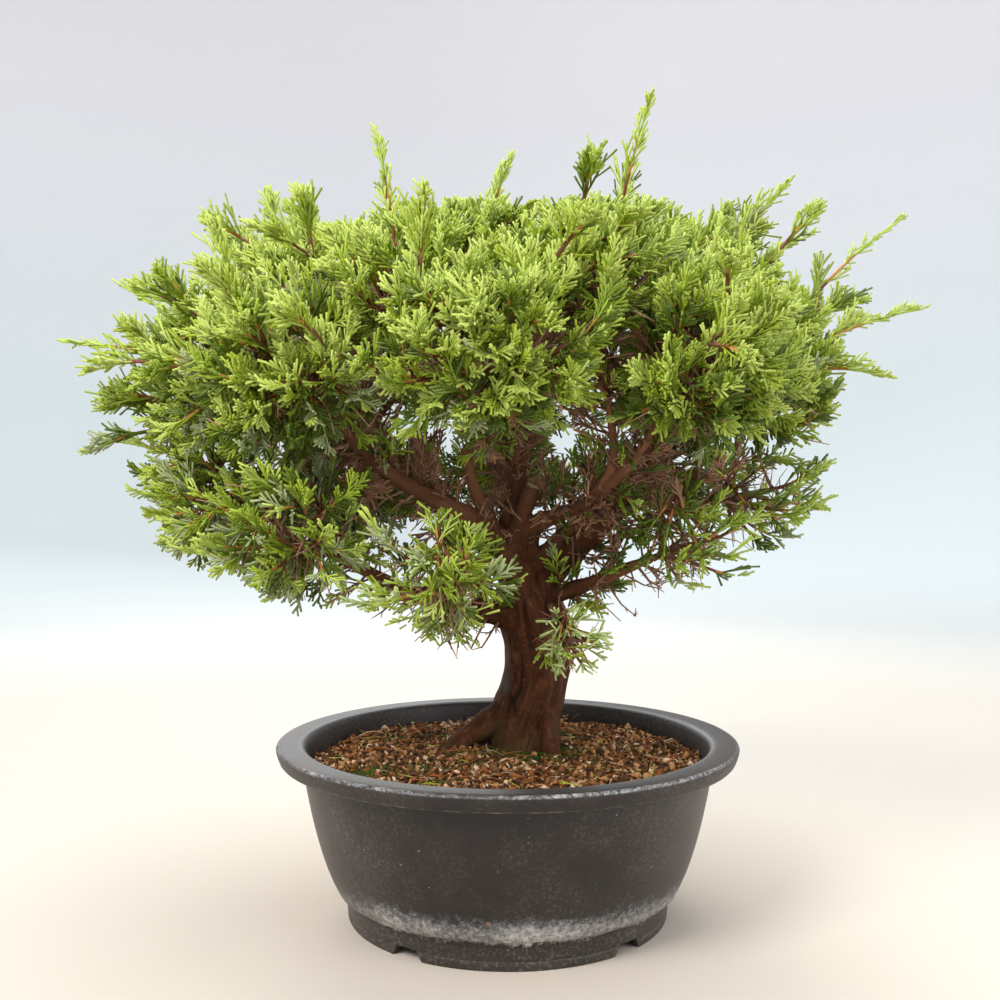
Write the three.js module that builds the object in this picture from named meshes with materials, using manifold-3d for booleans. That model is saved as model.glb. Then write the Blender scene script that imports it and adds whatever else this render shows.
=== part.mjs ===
// A juniper bonsai in its round plastic training pot.
// Millimetres, +Z up. The origin is the middle of the pot's underside, and the front looks along -Y.
import * as THREE from "three";
import { mergeVertices } from "three/addons/utils/BufferGeometryUtils.js";
import Module from "manifold-3d";

const wasm = await Module();
wasm.setup();

// Driving dimensions of the pot
const RIM_RADIUS = 130;
const RIM_WIDTH = 16;
const RIM_DROP = 9;
const POT_HEIGHT = 97.5;
const POT_WALL = 3;
const BOWL_TOP_RADIUS = 116;
const FOOT_RADIUS = 92;
const FOOT_HEIGHT = 15;
const FOOT_WIDTH = 6;
const FOOT_STEP = 4;
const FOOT_EASE = 1; // how far the foot's sides lean and its edges are eased
const BELLY = { out: 16, height: 38 }; // what the bowl's curve is drawn towards, past the foot's radius
const FLOOR_RISE = 7;
const PAD_RADIUS = 15;
const POT_SIDES = 32;
// The rolled rim's section: how far each point lies in from the rim's radius and down from its top
const RIM_SECTION = [[3.5, RIM_DROP], [0, 2], [1.5, 0.4], [0.6 * RIM_WIDTH, 0], [RIM_WIDTH, 2]];
const NOTCH = { azimuths: [55, 133, 235, 313], wide: 20, narrow: 13, tall: 6 };
const DRAIN = { count: 6, near: 30, far: 66, width: 8 };

// Driving dimensions of the soil and the trunk
const CLEAR = 0.3; // gap that touching pieces keep
const SOIL_EDGE = 84;
const SOIL_SEAT = 90; // level of the soil round the trunk's foot
const SEAT_RADIUS = 46;
const SOIL_RUFFLE = 1; // height of the soil's unevenness
const RUFFLE_START = 20; // how far past the seat it is at its full height
const SOIL_RINGS = [1, 0.72, 0.45]; // shares of the soil's radius
const TRUNK_SIDES = 14;
const TRUNK_FOOT = SOIL_SEAT + CLEAR;
// Each trunk section: height, middle x and y, radius
const TRUNK_SECTIONS = [
  [TRUNK_FOOT, 6, 8, 25],
  [98, 6, 8, 24],
  [106, 8, 8, 22.5],
  [116, 12, 8, 20.5],
  [128, 16, 8, 19],
  [142, 17, 8, 18.5],
  [158, 15, 7, 19],
  [174, 13, 6, 18.5],
  [190, 10, 6, 14.5],
  [204, 8, 6, 10.5],
];
// Each root flare: azimuth, how far it reaches past the trunk, half its spread in degrees
const ROOT_FLARES = [
  [188, 15, 26],
  [318, 6, 20],
  [262, 4, 16],
  [75, 12, 24],
  [128, 7, 18],
];
const FLARE_FADE = 11; // height over which a root flare sinks into the trunk
const TRUNK_RIPPLE = 0.05; // of the radius, for the trunk's three shallow ribs
const TRUNK_SPRAY = { section: 7, azimuth: 304 }; // where the twig on the bare trunk sits

// Driving dimensions of the boughs and the foliage
const HEART = new THREE.Vector3(8, 0, 235); // where the crown spreads from
const BOUGH_SIDES = 5;
const LIMB_SIDES = 4;
const BOUGH_TIP = 2.4;
const LIMB_TIP = 1.9;
const LIMB_STEP = 18; // length of a limb's straight steps
const LIMB_TAPER = 0.75; // power that gives how early a limb thins
const LIMB_SHARE = 0.62; // of its parent's radius where it leaves
const FORK = { out: 0.16, over: 0.62, sway: 0.16 }; // where a forking limb's two bends lie over its length
const ENTRY_SHARE = 0.5; // how far out in its space a limb's tip stops
const HUB_SHARE = 0.4; // how far along from the limb's tip to the middle a mass's stem goes straight on
const STEM_PAST = 0.3; // how far past the middle of its space the stem runs
const AXIS = { out: 0.7, up: 0.25 }; // how far a mass's axis turns outwards and up from its limb's way
const WIDEST_FAN = 2.05; // radians from the mass's own axis
const SPACE_GAP = 0.5; // between two masses
const SPACE_EASE = 1.04; // how far past its ellipsoid a point still counts as in its space
const LIMB_BERTH = 1; // between a limb's bark and a twig or spray beside it
const TWIG = { base: 1.6, tip: 0.5, sides: 3, steps: 2, bendAt: 0.55, sag: 0.12, from: 0.2, to: 0.96 };
const OPEN = { sprays: 3, longest: 32, shortest: 20, bare: 0.3 };
const SHOOT = { sprays: 3, longest: 30, shortest: 11, bare: 0.42 };
const SPRAY = { longest: 42, thickness: 3.2, spread: 0.75, sunk: 9, lift: 0.7, stray: 0.7 };
const SPRAY_TRIES = [1, 0.8, 0.62]; // shares of its length that a spray is tried at, until it fits
// A spray's outline over its length: a fan with three tips
const FAN_MIDDLE = 0.42; // where it is thickest
const FAN = [[0, 0], [0.64, 0.5], [0.6, 0.17], [1, 0.03], [0.57, -0.16], [0.7, -0.46]];
const CORE_SHARE = 0.6; // of the way from a dense mass's middle to the edge of its space
const CORE_RANGE = [0.88, 1.08]; // how unevenly the core fills that share
const SPRAYS_ON_CORE = 12; // of a dense mass
const TWIGS_IN_OPEN = 5; // of a mass with no core
const MASS_SMOOTHING = 0.8; // details of a joined mass smaller than this are drawn together
const SMOOTHING = 0.05; // the same for every finished piece
const EVEN = { lean: 0.7548776662466927, turn: 0.5698402909980532, along: 0.6180339887 }; // even spreads

// Each bough: radius where it leaves the trunk, then the points it passes, in order
const BOUGHS = {
  left_low: [8, [14, 5, 162], [-8, -6, 169], [-28, -15, 173], [-58, -30, 184], [-78, -42, 196]],
  left: [8.5, [11, 5, 192], [-6, -3, 210], [-22, -13, 223], [-46, -26, 236], [-70, -40, 252]],
  leader: [8.5, [8, 6, 196], [3, 7, 222], [6, 6, 246], [0, 4, 276], [-10, 2, 306]],
  front: [6, [10, 2, 200], [14, -10, 217], [27, -20, 224], [43, -30, 231], [60, -44, 246]],
  right: [10, [13, 6, 184], [36, 2, 204], [54, 2, 219], [70, 3, 234], [84, 5, 254], [93, 6, 288]],
  right_low: [5, [17, 4, 176], [30, -7, 180], [43, -14, 185], [55, -22, 190], [66, -31, 196]],
  back_left: [8, [8, 9, 186], [-12, 25, 206], [-32, 42, 226], [-58, 58, 248], [-78, 68, 266]],
  back: [7, [9, 10, 192], [4, 30, 214], [0, 52, 234], [-4, 72, 256], [-3, 88, 272]],
  back_right: [8, [13, 8, 188], [32, 26, 206], [52, 42, 224], [72, 56, 244], [88, 66, 264]],
};

// Each mass of foliage: the bough it grows from and how far along, its middle, its reach along X, Y and Z,
// whether it is dense, and the tips of the long shoots that stand out of it
const MASSES = {
  left_front_low: { from: ["left_low", 1], middle: [-108, -76, 214], reach: [55, 54, 37], dense: true },
  front_low: { from: ["left_low", 0.42], middle: [-30, -98, 195], reach: [44, 36, 31], dense: true },
  trunk_spray: { from: ["trunk", 0], middle: [32, -52, 158], reach: [27, 26, 24], dense: false },
  left_low: {
    from: ["left", 0.62], middle: [-156, -8, 235], reach: [58, 60, 45], dense: true,
    shoots: [[-226, -6, 266]],
  },
  back_left_low: { from: ["back_left", 0.62], middle: [-98, 84, 240], reach: [56, 52, 40], dense: true },
  back_low: { from: ["back", 0.55], middle: [6, 112, 258], reach: [55, 50, 34], dense: false },
  back_right_low: { from: ["back_right", 0.6], middle: [104, 78, 258], reach: [54, 52, 35], dense: false },
  right_low: { from: ["right", 0.42], middle: [140, -2, 236], reach: [50, 52, 35], dense: false },
  right_front_low: { from: ["right_low", 1], middle: [92, -48, 208], reach: [44, 34, 27], dense: false },
  left: {
    from: ["left", 0.8], middle: [-160, 0, 299], reach: [58, 62, 50], dense: true,
    shoots: [[-247, -20, 320], [-219, 0, 354]],
  },
  left_front: { from: ["left", 1], middle: [-110, -84, 296], reach: [58, 56, 48], dense: true },
  front: { from: ["leader", 0.42], middle: [-8, -118, 302], reach: [60, 52, 47], dense: true },
  right_front: { from: ["front", 1], middle: [95, -88, 298], reach: [58, 54, 47], dense: true },
  right: {
    from: ["right", 0.72], middle: [144, 2, 304], reach: [51, 60, 47], dense: true,
    shoots: [[228, 10, 395], [233, -10, 340], [206, -30, 300]],
  },
  back_right: {
    from: ["back_right", 1], middle: [108, 84, 310], reach: [56, 54, 46], dense: true,
    shoots: [[162, 128, 366]],
  },
  back: {
    from: ["back", 1], middle: [2, 124, 310], reach: [60, 50, 46], dense: true,
    shoots: [[34, 188, 352]],
  },
  back_left: {
    from: ["back_left", 1], middle: [-108, 86, 308], reach: [58, 54, 46], dense: true,
    shoots: [[-176, 122, 352]],
  },
  left_top: {
    from: ["leader", 0.62], middle: [-112, 5, 350], reach: [60, 56, 46], dense: true,
    shoots: [[-112, -20, 397], [-171, 0, 389]],
  },
  left_front_top: {
    from: ["leader", 0.72], middle: [-60, -70, 334], reach: [54, 50, 41], dense: true,
    shoots: [[-68, -60, 420]],
  },
  right_front_top: { from: ["front", 0.62], middle: [45, -74, 342], reach: [55, 50, 42], dense: true },
  right_top: {
    from: ["right", 1], middle: [108, 6, 350], reach: [60, 56, 45], dense: true,
    shoots: [[155, -20, 408], [176, 10, 386]],
  },
  back_right_top: {
    from: ["back_right", 0.8], middle: [50, 74, 352], reach: [55, 52, 42], dense: true,
    shoots: [[70, 104, 418]],
  },
  back_left_top: {
    from: ["back_left", 0.8], middle: [-54, 74, 350], reach: [56, 52, 42], dense: true,
    shoots: [[-84, 92, 412]],
  },
  crest_left: {
    from: ["leader", 1], middle: [-24, 0, 366], reach: [56, 52, 38], dense: true,
    shoots: [[2, 0, 426]],
  },
  crest_right: {
    from: ["right", 0.88], middle: [52, 4, 366], reach: [54, 52, 38], dense: true,
    shoots: [[80, -10, 457]],
  },
};

const COLOURS = {
  pot: new THREE.MeshStandardMaterial({ color: 0x2c2d2e, roughness: 0.62, metalness: 0 }),
  soil: new THREE.MeshStandardMaterial({ color: 0x6f4a31, roughness: 0.95, metalness: 0 }),
  bark: new THREE.MeshStandardMaterial({ color: 0x5b3b2c, roughness: 0.9, metalness: 0 }),
  foliage: new THREE.MeshStandardMaterial({ color: 0x6d9a35, roughness: 0.7, metalness: 0 }),
};

const UP = new THREE.Vector3(0, 0, 1);

// A seeded run of numbers between 0 and 1
function seeded(seed) {
  let state = (seed * 2654435761) >>> 0;
  const next = () => {
    state = (Math.imul(state, 1664525) + 1013904223) >>> 0;
    return state / 4294967296;
  };
  next();
  next();
  return next;
}

// A closed geometry as a solid that can be joined and cut
function solidOf(geometry) {
  const bare = geometry.clone();
  bare.deleteAttribute("normal");
  bare.deleteAttribute("uv");
  const merged = mergeVertices(bare, 1e-4);
  return new wasm.Manifold(
    new wasm.Mesh({
      numProp: 3,
      vertProperties: new Float32Array(merged.attributes.position.array),
      triVerts: new Uint32Array(merged.index.array),
    }),
  );
}

// The largest body of a solid, without slivers, as a geometry
function geometryOf(solid) {
  const bodies = solid.simplify(SMOOTHING).decompose();
  bodies.sort((a, b) => b.volume() - a.volume());
  const mesh = bodies[0].getMesh();
  const geometry = new THREE.BufferGeometry();
  geometry.setAttribute("position", new THREE.BufferAttribute(new Float32Array(mesh.vertProperties), 3));
  geometry.setIndex(new THREE.BufferAttribute(new Uint32Array(mesh.triVerts), 1));
  geometry.computeVertexNormals();
  return geometry;
}

function named(name, geometry, material) {
  const mesh = new THREE.Mesh(geometry, material);
  mesh.name = name;
  return mesh;
}

const mix = (a, b, share) => a + (b - a) * share;
const vector = (list) => new THREE.Vector3(...list);

// A closed tube along a curve, bent out of a cylinder, with its radius given at each share of the length
function tube(curve, radiusAt, sides, steps) {
  const geometry = new THREE.CylinderGeometry(1, 1, 1, sides, steps);
  const frames = curve.computeFrenetFrames(steps);
  const position = geometry.attributes.position;
  const place = new THREE.Vector3();
  for (let i = 0; i < position.count; i++) {
    const ring = Math.round((position.getY(i) + 0.5) * steps);
    const radius = radiusAt(ring / steps);
    place.copy(curve.getPoint(ring / steps));
    place.addScaledVector(frames.normals[ring], position.getX(i) * radius);
    place.addScaledVector(frames.binormals[ring], -position.getZ(i) * radius);
    position.setXYZ(i, place.x, place.y, place.z);
  }
  return geometry;
}

// The round wall of the pot between its foot and its rim, moved in by an inset
function bowlWall(inset, steps) {
  const low = new THREE.Vector2(FOOT_RADIUS + FOOT_STEP - inset, FOOT_HEIGHT + FOOT_STEP / 2);
  const belly = new THREE.Vector2(FOOT_RADIUS + BELLY.out - inset, BELLY.height);
  const high = new THREE.Vector2(BOWL_TOP_RADIUS - inset, POT_HEIGHT - RIM_DROP);
  return new THREE.QuadraticBezierCurve(low, belly, high).getPoints(steps);
}

// The pot: foot ring with notches, raised floor with drain slots and a pad in the middle, bowl and rolled rim
function makePot() {
  const outline = [
    new THREE.Vector2(0, 0),
    new THREE.Vector2(PAD_RADIUS, 0),
    new THREE.Vector2(PAD_RADIUS + FOOT_EASE, FLOOR_RISE),
    new THREE.Vector2(FOOT_RADIUS - FOOT_WIDTH, FLOOR_RISE),
    new THREE.Vector2(FOOT_RADIUS - FOOT_WIDTH + FOOT_EASE, 0),
    new THREE.Vector2(FOOT_RADIUS - FOOT_EASE, 0),
    new THREE.Vector2(FOOT_RADIUS, FOOT_EASE),
    new THREE.Vector2(FOOT_RADIUS + FOOT_EASE, FOOT_HEIGHT),
    ...bowlWall(0, 4),
    ...RIM_SECTION.map(([inwards, down]) => new THREE.Vector2(RIM_RADIUS - inwards, POT_HEIGHT - down)),
    ...bowlWall(POT_WALL, 3).reverse(),
    new THREE.Vector2(FOOT_RADIUS, FLOOR_RISE + POT_WALL),
    new THREE.Vector2(0, FLOOR_RISE + POT_WALL),
  ];
  const body = new THREE.LatheGeometry(outline, POT_SIDES).rotateX(Math.PI / 2);
  let pot = solidOf(body);

  const trapezoid = new THREE.Shape([
    new THREE.Vector2(-NOTCH.wide / 2, -1),
    new THREE.Vector2(NOTCH.wide / 2, -1),
    new THREE.Vector2(NOTCH.narrow / 2, NOTCH.tall),
    new THREE.Vector2(-NOTCH.narrow / 2, NOTCH.tall),
  ]);
  for (const azimuth of NOTCH.azimuths) {
    const cutter = new THREE.ExtrudeGeometry(trapezoid, { depth: 4 * FOOT_WIDTH, bevelEnabled: false });
    cutter.rotateX(Math.PI / 2).rotateZ(Math.PI).translate(0, FOOT_RADIUS - 2.5 * FOOT_WIDTH, 0);
    cutter.rotateZ(THREE.MathUtils.degToRad(azimuth - 90));
    pot = pot.subtract(solidOf(cutter));
  }
  for (let i = 0; i < DRAIN.count; i++) {
    const cutter = new THREE.BoxGeometry(DRAIN.far - DRAIN.near, DRAIN.width, 4 * POT_WALL);
    cutter.translate((DRAIN.far + DRAIN.near) / 2, 0, FLOOR_RISE + POT_WALL / 2);
    cutter.rotateZ(((i + 0.5) * 2 * Math.PI) / DRAIN.count);
    pot = pot.subtract(solidOf(cutter));
  }
  return named("pot", geometryOf(pot), COLOURS.pot);
}

// Level of the soil at a place: a flat seat round the trunk, and a low ruffled slope to the pot's wall
function soilLevel(x, y) {
  const [, trunkX, trunkY] = TRUNK_SECTIONS[0];
  const out = Math.hypot(x - trunkX, y - trunkY) - SEAT_RADIUS;
  if (out <= 0) return SOIL_SEAT;
  const slope = Math.min(1, out / (BOWL_TOP_RADIUS - SEAT_RADIUS));
  const ruffle = Math.sin(x * 0.11 + 1) * Math.cos(y * 0.13) + 0.6 * Math.sin(x * 0.27 - y * 0.21);
  return mix(SOIL_SEAT, SOIL_EDGE, slope) + SOIL_RUFFLE * Math.min(1, out / RUFFLE_START) * ruffle;
}

function makeSoil() {
  const inset = POT_WALL + CLEAR;
  const wall = bowlWall(inset, 3).filter((point) => point.y < SOIL_EDGE - 6);
  const edgeRadius = BOWL_TOP_RADIUS - inset - 1.2;
  const top = SOIL_RINGS.map((share) => new THREE.Vector2(edgeRadius * share, SOIL_EDGE));
  const outline = [
    new THREE.Vector2(0, FLOOR_RISE + POT_WALL + CLEAR),
    new THREE.Vector2(FOOT_RADIUS - 1, FLOOR_RISE + POT_WALL + CLEAR),
    ...wall,
    ...top,
    new THREE.Vector2(0, SOIL_EDGE),
  ];
  const geometry = new THREE.LatheGeometry(outline, POT_SIDES).rotateX(Math.PI / 2);
  const position = geometry.attributes.position;
  for (let i = 0; i < position.count; i++) {
    if (position.getZ(i) < SOIL_EDGE - 0.5) continue;
    position.setZ(i, soilLevel(position.getX(i), position.getY(i)));
  }
  return named("soil", geometryOf(solidOf(geometry)), COLOURS.soil);
}

// The trunk's radius towards an azimuth, at a height above its foot, with its root flares
function trunkRadius(radius, azimuth, rise) {
  let flare = 0;
  for (const [direction, reach, spread] of ROOT_FLARES) {
    const turn = ((azimuth - direction + 540) % 360) - 180;
    flare += reach * Math.exp(-((turn / spread) ** 2));
  }
  const ripple = TRUNK_RIPPLE * Math.sin(3 * THREE.MathUtils.degToRad(azimuth));
  return radius * (1 + ripple) + flare * Math.exp(-rise / FLARE_FADE);
}

// The trunk as a stack of level rings, with flat ends, grown outwards by a margin
function trunkSolid(margin) {
  const rings = TRUNK_SECTIONS.length - 1;
  const geometry = new THREE.CylinderGeometry(1, 1, 1, TRUNK_SIDES, rings);
  geometry.rotateX(Math.PI / 2);
  const position = geometry.attributes.position;
  for (let i = 0; i < position.count; i++) {
    const ring = Math.round((position.getZ(i) + 0.5) * rings);
    const [height, x, y, radius] = TRUNK_SECTIONS[ring];
    const azimuth = THREE.MathUtils.radToDeg(Math.atan2(position.getY(i), position.getX(i)));
    const reach = Math.hypot(position.getX(i), position.getY(i));
    const wide = reach * (trunkRadius(radius, azimuth, height - TRUNK_FOOT) + margin);
    const end = ring === rings ? margin : 0;
    const turn = THREE.MathUtils.degToRad(azimuth);
    position.setXYZ(i, x + wide * Math.cos(turn), y + wide * Math.sin(turn), height + end);
  }
  return solidOf(geometry);
}

// One limb: its curve, its radius at each share, and its solid grown outwards by a margin
function limb(points, base, tip, sides) {
  const curve = new THREE.CatmullRomCurve3(points, false, "catmullrom", 0.5);
  const steps = Math.max(4, Math.min(8, Math.round(curve.getLength() / LIMB_STEP)));
  const radiusAt = (share) => mix(base, tip, share ** LIMB_TAPER);
  const grown = (margin) => {
    const last = points[points.length - 1];
    const end = last.clone().addScaledVector(curve.getTangent(1), margin);
    const longer = new THREE.CatmullRomCurve3([...points.slice(0, -1), end], false, "catmullrom", 0.5);
    const outwards = margin / Math.cos(Math.PI / sides);
    return solidOf(tube(longer, (share) => radiusAt(share) + outwards, sides, steps));
  };
  const spine = curve.getPoints(2 * steps);
  return { curve, radiusAt, grown, spine, tip: points[points.length - 1], heading: curve.getTangent(1) };
}

// The space of each mass: an ellipsoid, cut by one plane towards every other mass
function makeSpaces() {
  const spaces = {};
  for (const [name, row] of Object.entries(MASSES)) {
    spaces[name] = { middle: vector(row.middle), reach: vector(row.reach), planes: [] };
  }
  const size = (space) => Math.cbrt(space.reach.x * space.reach.y * space.reach.z);
  for (const [name, space] of Object.entries(spaces)) {
    for (const [otherName, other] of Object.entries(spaces)) {
      if (otherName === name) continue;
      const normal = other.middle.clone().sub(space.middle);
      const apart = normal.length();
      normal.divideScalar(apart);
      const share = (apart ** 2 + size(space) ** 2 - size(other) ** 2) / (2 * apart);
      space.planes.push({ normal, level: normal.dot(space.middle) + share - SPACE_GAP / 2 });
    }
  }
  return spaces;
}

// How far it is from a point inside a space to its edge in one direction
function edgeDistance(space, from, direction, walledOnly = false) {
  let distance = Infinity;
  for (const { normal, level } of space.planes) {
    const rate = normal.dot(direction);
    if (rate > 1e-6) distance = Math.min(distance, (level - normal.dot(from)) / rate);
  }
  if (walledOnly) return distance;
  const p = from.clone().sub(space.middle).divide(space.reach);
  const d = direction.clone().divide(space.reach);
  const b = p.dot(d);
  const root = Math.sqrt(Math.max(0, b * b - d.lengthSq() * (p.lengthSq() - 1)));
  return Math.min(distance, (root - b) / d.lengthSq());
}

function insideSpace(space, point, walledOnly) {
  if (space.planes.some(({ normal, level }) => normal.dot(point) > level)) return false;
  return walledOnly || point.clone().sub(space.middle).divide(space.reach).length() < SPACE_EASE;
}

function distanceToSegment(point, start, end) {
  const along = end.clone().sub(start);
  const share = THREE.MathUtils.clamp(point.clone().sub(start).dot(along) / along.lengthSq(), 0, 1);
  return start.clone().addScaledVector(along, share).distanceTo(point);
}

// Whether points keep clear of every limb and of the trunk
function clearOfLimbs(points, limbs) {
  for (const { spine, radiusAt } of limbs) {
    for (let i = 1; i < spine.length; i++) {
      const radius = radiusAt((i - 1) / (spine.length - 1)) + LIMB_BERTH;
      if (points.some((point) => distanceToSegment(point, spine[i - 1], spine[i]) < radius)) return false;
    }
  }
  return true;
}

// The n-th of a row of directions that fan out evenly round an axis
function fanDirection(axis, n) {
  const lean = Math.acos(1 - ((0.5 + n * EVEN.lean) % 1) * (1 - Math.cos(WIDEST_FAN)));
  const turn = 2 * Math.PI * ((0.5 + n * EVEN.turn) % 1);
  const aside = Math.abs(axis.z) < 0.9 ? UP : new THREE.Vector3(1, 0, 0);
  const side = new THREE.Vector3().crossVectors(axis, aside);
  side.normalize().applyAxisAngle(axis, turn);
  return axis.clone().multiplyScalar(Math.cos(lean)).addScaledVector(side, Math.sin(lean));
}

// A fan-shaped blade, which stands for a spray: its outline lies in one plane
function sprayBlade(root, direction, face, length) {
  const across = new THREE.Vector3().crossVectors(face, direction).normalize();
  const normal = new THREE.Vector3().crossVectors(direction, across).normalize();
  const at = (along, aside, off) =>
    root.clone().addScaledVector(direction, along * length).addScaledVector(across, aside * length)
      .addScaledVector(normal, off);
  const points = FAN.map(([along, aside]) => at(along, aside, 0));
  points.push(at(FAN_MIDDLE, 0, SPRAY.thickness / 2), at(FAN_MIDDLE, 0, -SPRAY.thickness / 2));
  const faces = [];
  FAN.forEach((_, i) => {
    const next = (i + 1) % FAN.length;
    faces.push(next, i, FAN.length, i, next, FAN.length + 1);
  });
  const geometry = new THREE.BufferGeometry().setFromPoints(points).setIndex(faces);
  return { geometry, points };
}

// A mass's smaller core: a rounded lump that keeps inside the mass's space
function coreGeometry(space, random) {
  const bare = new THREE.DodecahedronGeometry(1).deleteAttribute("normal").deleteAttribute("uv");
  const geometry = mergeVertices(bare);
  const position = geometry.attributes.position;
  const direction = new THREE.Vector3();
  for (let i = 0; i < position.count; i++) {
    direction.fromBufferAttribute(position, i).normalize();
    const reach = edgeDistance(space, space.middle, direction);
    const share = CORE_SHARE * mix(...CORE_RANGE, random());
    direction.multiplyScalar(reach * share).add(space.middle);
    position.setXYZ(i, direction.x, direction.y, direction.z);
  }
  return geometry;
}

// The twigs of a mass: each curves from the hub to a tip at the edge of the space
function twigCurve(hub, tip) {
  const reach = tip.distanceTo(hub);
  const bend = hub.clone().lerp(tip, TWIG.bendAt).addScaledVector(UP, -TWIG.sag * reach);
  return new THREE.QuadraticBezierCurve3(hub, bend, tip);
}

// A place on a curve, as the straight steps of its tube run
function stepPoint(curve, share, steps) {
  const ring = Math.min(steps - 1, Math.floor(share * steps));
  return curve.getPoint(ring / steps).lerp(curve.getPoint((ring + 1) / steps), share * steps - ring);
}

function growMass(name, index, space, from, limbs) {
  const row = MASSES[name];
  const random = seeded(index + 1);
  const axis = space.middle.clone().sub(from.tip).normalize();
  axis.addScaledVector(space.middle.clone().sub(HEART).normalize(), AXIS.out);
  axis.addScaledVector(UP, AXIS.up).normalize();
  const hub = from.tip.clone().lerp(space.middle, HUB_SHARE);
  const past = STEM_PAST * edgeDistance(space, space.middle, axis);
  const stemEnd = space.middle.clone().addScaledVector(axis, past);
  const stem = new THREE.CatmullRomCurve3([from.tip, hub, stemEnd], false, "catmullrom", 0.5);
  const pieces = [tube(stem, (share) => mix(from.radius, TWIG.base, share), LIMB_SIDES, 2)];
  if (row.dense) pieces.push(coreGeometry(space, random));

  const off = () => SPRAY.stray * (random() - 0.5);
  const stray = () => new THREE.Vector3(off(), off(), off());
  const addSpray = (root, direction, facing, length, walledOnly) => {
    const face = stray().add(facing).normalize();
    for (const share of SPRAY_TRIES) {
      const blade = sprayBlade(root, direction, face, length * share);
      if (!blade.points.slice(1).every((point) => insideSpace(space, point, walledOnly))) continue;
      if (!clearOfLimbs(blade.points, limbs)) continue;
      pieces.push(blade.geometry);
      return;
    }
  };
  const addTwig = (n, tip, { sprays, longest, shortest, bare }, walledOnly) => {
    const start = stem.getPoint(mix(TWIG.from, TWIG.to, (0.5 + n * EVEN.along) % 1));
    const curve = twigCurve(start, tip);
    const spine = curve.getPoints(6);
    if (!clearOfLimbs(spine.slice(1), limbs)) return;
    if (!spine.every((point) => insideSpace(space, point, walledOnly))) return;
    pieces.push(tube(curve, (share) => mix(TWIG.base, TWIG.tip, share), TWIG.sides, TWIG.steps));
    const across = new THREE.Vector3().crossVectors(curve.getTangent(0.5), UP).normalize();
    const swing = new THREE.Vector3().crossVectors(curve.getTangent(0.5), across);
    across.multiplyScalar(random() - 0.5).add(swing).normalize();
    for (let i = 0; i < sprays; i++) {
      const share = mix(bare, 0.97, (i + 0.5) / sprays);
      const turn = (i % 2 ? 1 : -1) * SPRAY.spread * mix(0.8, 1.1, random());
      const direction = curve.getTangent(share).applyAxisAngle(across, turn);
      addSpray(stepPoint(curve, share, TWIG.steps), direction, UP, mix(longest, shortest, share), walledOnly);
    }
  };
  if (row.dense) {
    for (let n = 0; n < SPRAYS_ON_CORE; n++) {
      const direction = fanDirection(axis, n);
      const reach = edgeDistance(space, space.middle, direction);
      const root = space.middle.clone().addScaledVector(direction, CORE_SHARE * reach - SPRAY.sunk);
      const heading = stray().add(direction).addScaledVector(UP, SPRAY.lift).normalize();
      const length = Math.min(SPRAY.longest, edgeDistance(space, root, heading)) * mix(0.85, 1, random());
      addSpray(root, heading, direction, length, false);
    }
  } else {
    for (let n = 0; n < TWIGS_IN_OPEN; n++) {
      const direction = fanDirection(axis, n);
      const reach = edgeDistance(space, space.middle, direction) * mix(0.9, 1, random());
      addTwig(n, space.middle.clone().addScaledVector(direction, reach), OPEN, false);
    }
  }
  (row.shoots ?? []).forEach((tip, n) => addTwig(n, vector(tip), SHOOT, true));

  let mass = wasm.Manifold.union(pieces.map(solidOf)).simplify(MASS_SMOOTHING);
  for (const limbOrTrunk of limbs) mass = mass.subtract(limbOrTrunk.grown(CLEAR));
  return named("foliage_" + name, geometryOf(mass), COLOURS.foliage);
}

// The trunk's spine, so that twigs keep clear of it as they do of a limb
function trunkLimb() {
  const spine = TRUNK_SECTIONS.map(([height, x, y]) => new THREE.Vector3(x, y, height));
  const radiusAt = (share) => TRUNK_SECTIONS[Math.round(share * (TRUNK_SECTIONS.length - 1))][3];
  return { spine, radiusAt, grown: trunkSolid };
}

// Where the twig on the bare trunk starts, clear of the bark
function trunkSprayRoot() {
  const [height, x, y, radius] = TRUNK_SECTIONS[TRUNK_SPRAY.section];
  const out = trunkRadius(radius, TRUNK_SPRAY.azimuth, height - TRUNK_FOOT) + CLEAR;
  const turn = THREE.MathUtils.degToRad(TRUNK_SPRAY.azimuth);
  return new THREE.Vector3(x + out * Math.cos(turn), y + out * Math.sin(turn), height);
}

// The path of a limb that forks off a bough: it leaves along the bough and bends towards the mass
function forkPath(parent, share, entry, random) {
  const start = parent.curve.getPoint(share);
  const chord = entry.clone().sub(start);
  const length = chord.length();
  const first = start.clone().addScaledVector(parent.curve.getTangent(share), FORK.out * length);
  first.addScaledVector(chord, FORK.out);
  const second = start.clone().addScaledVector(chord, FORK.over);
  const sway = new THREE.Vector3(random() - 0.5, random() - 0.5, random() - 0.8);
  return [start, first, second.addScaledVector(sway, FORK.sway * length), entry];
}

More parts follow.
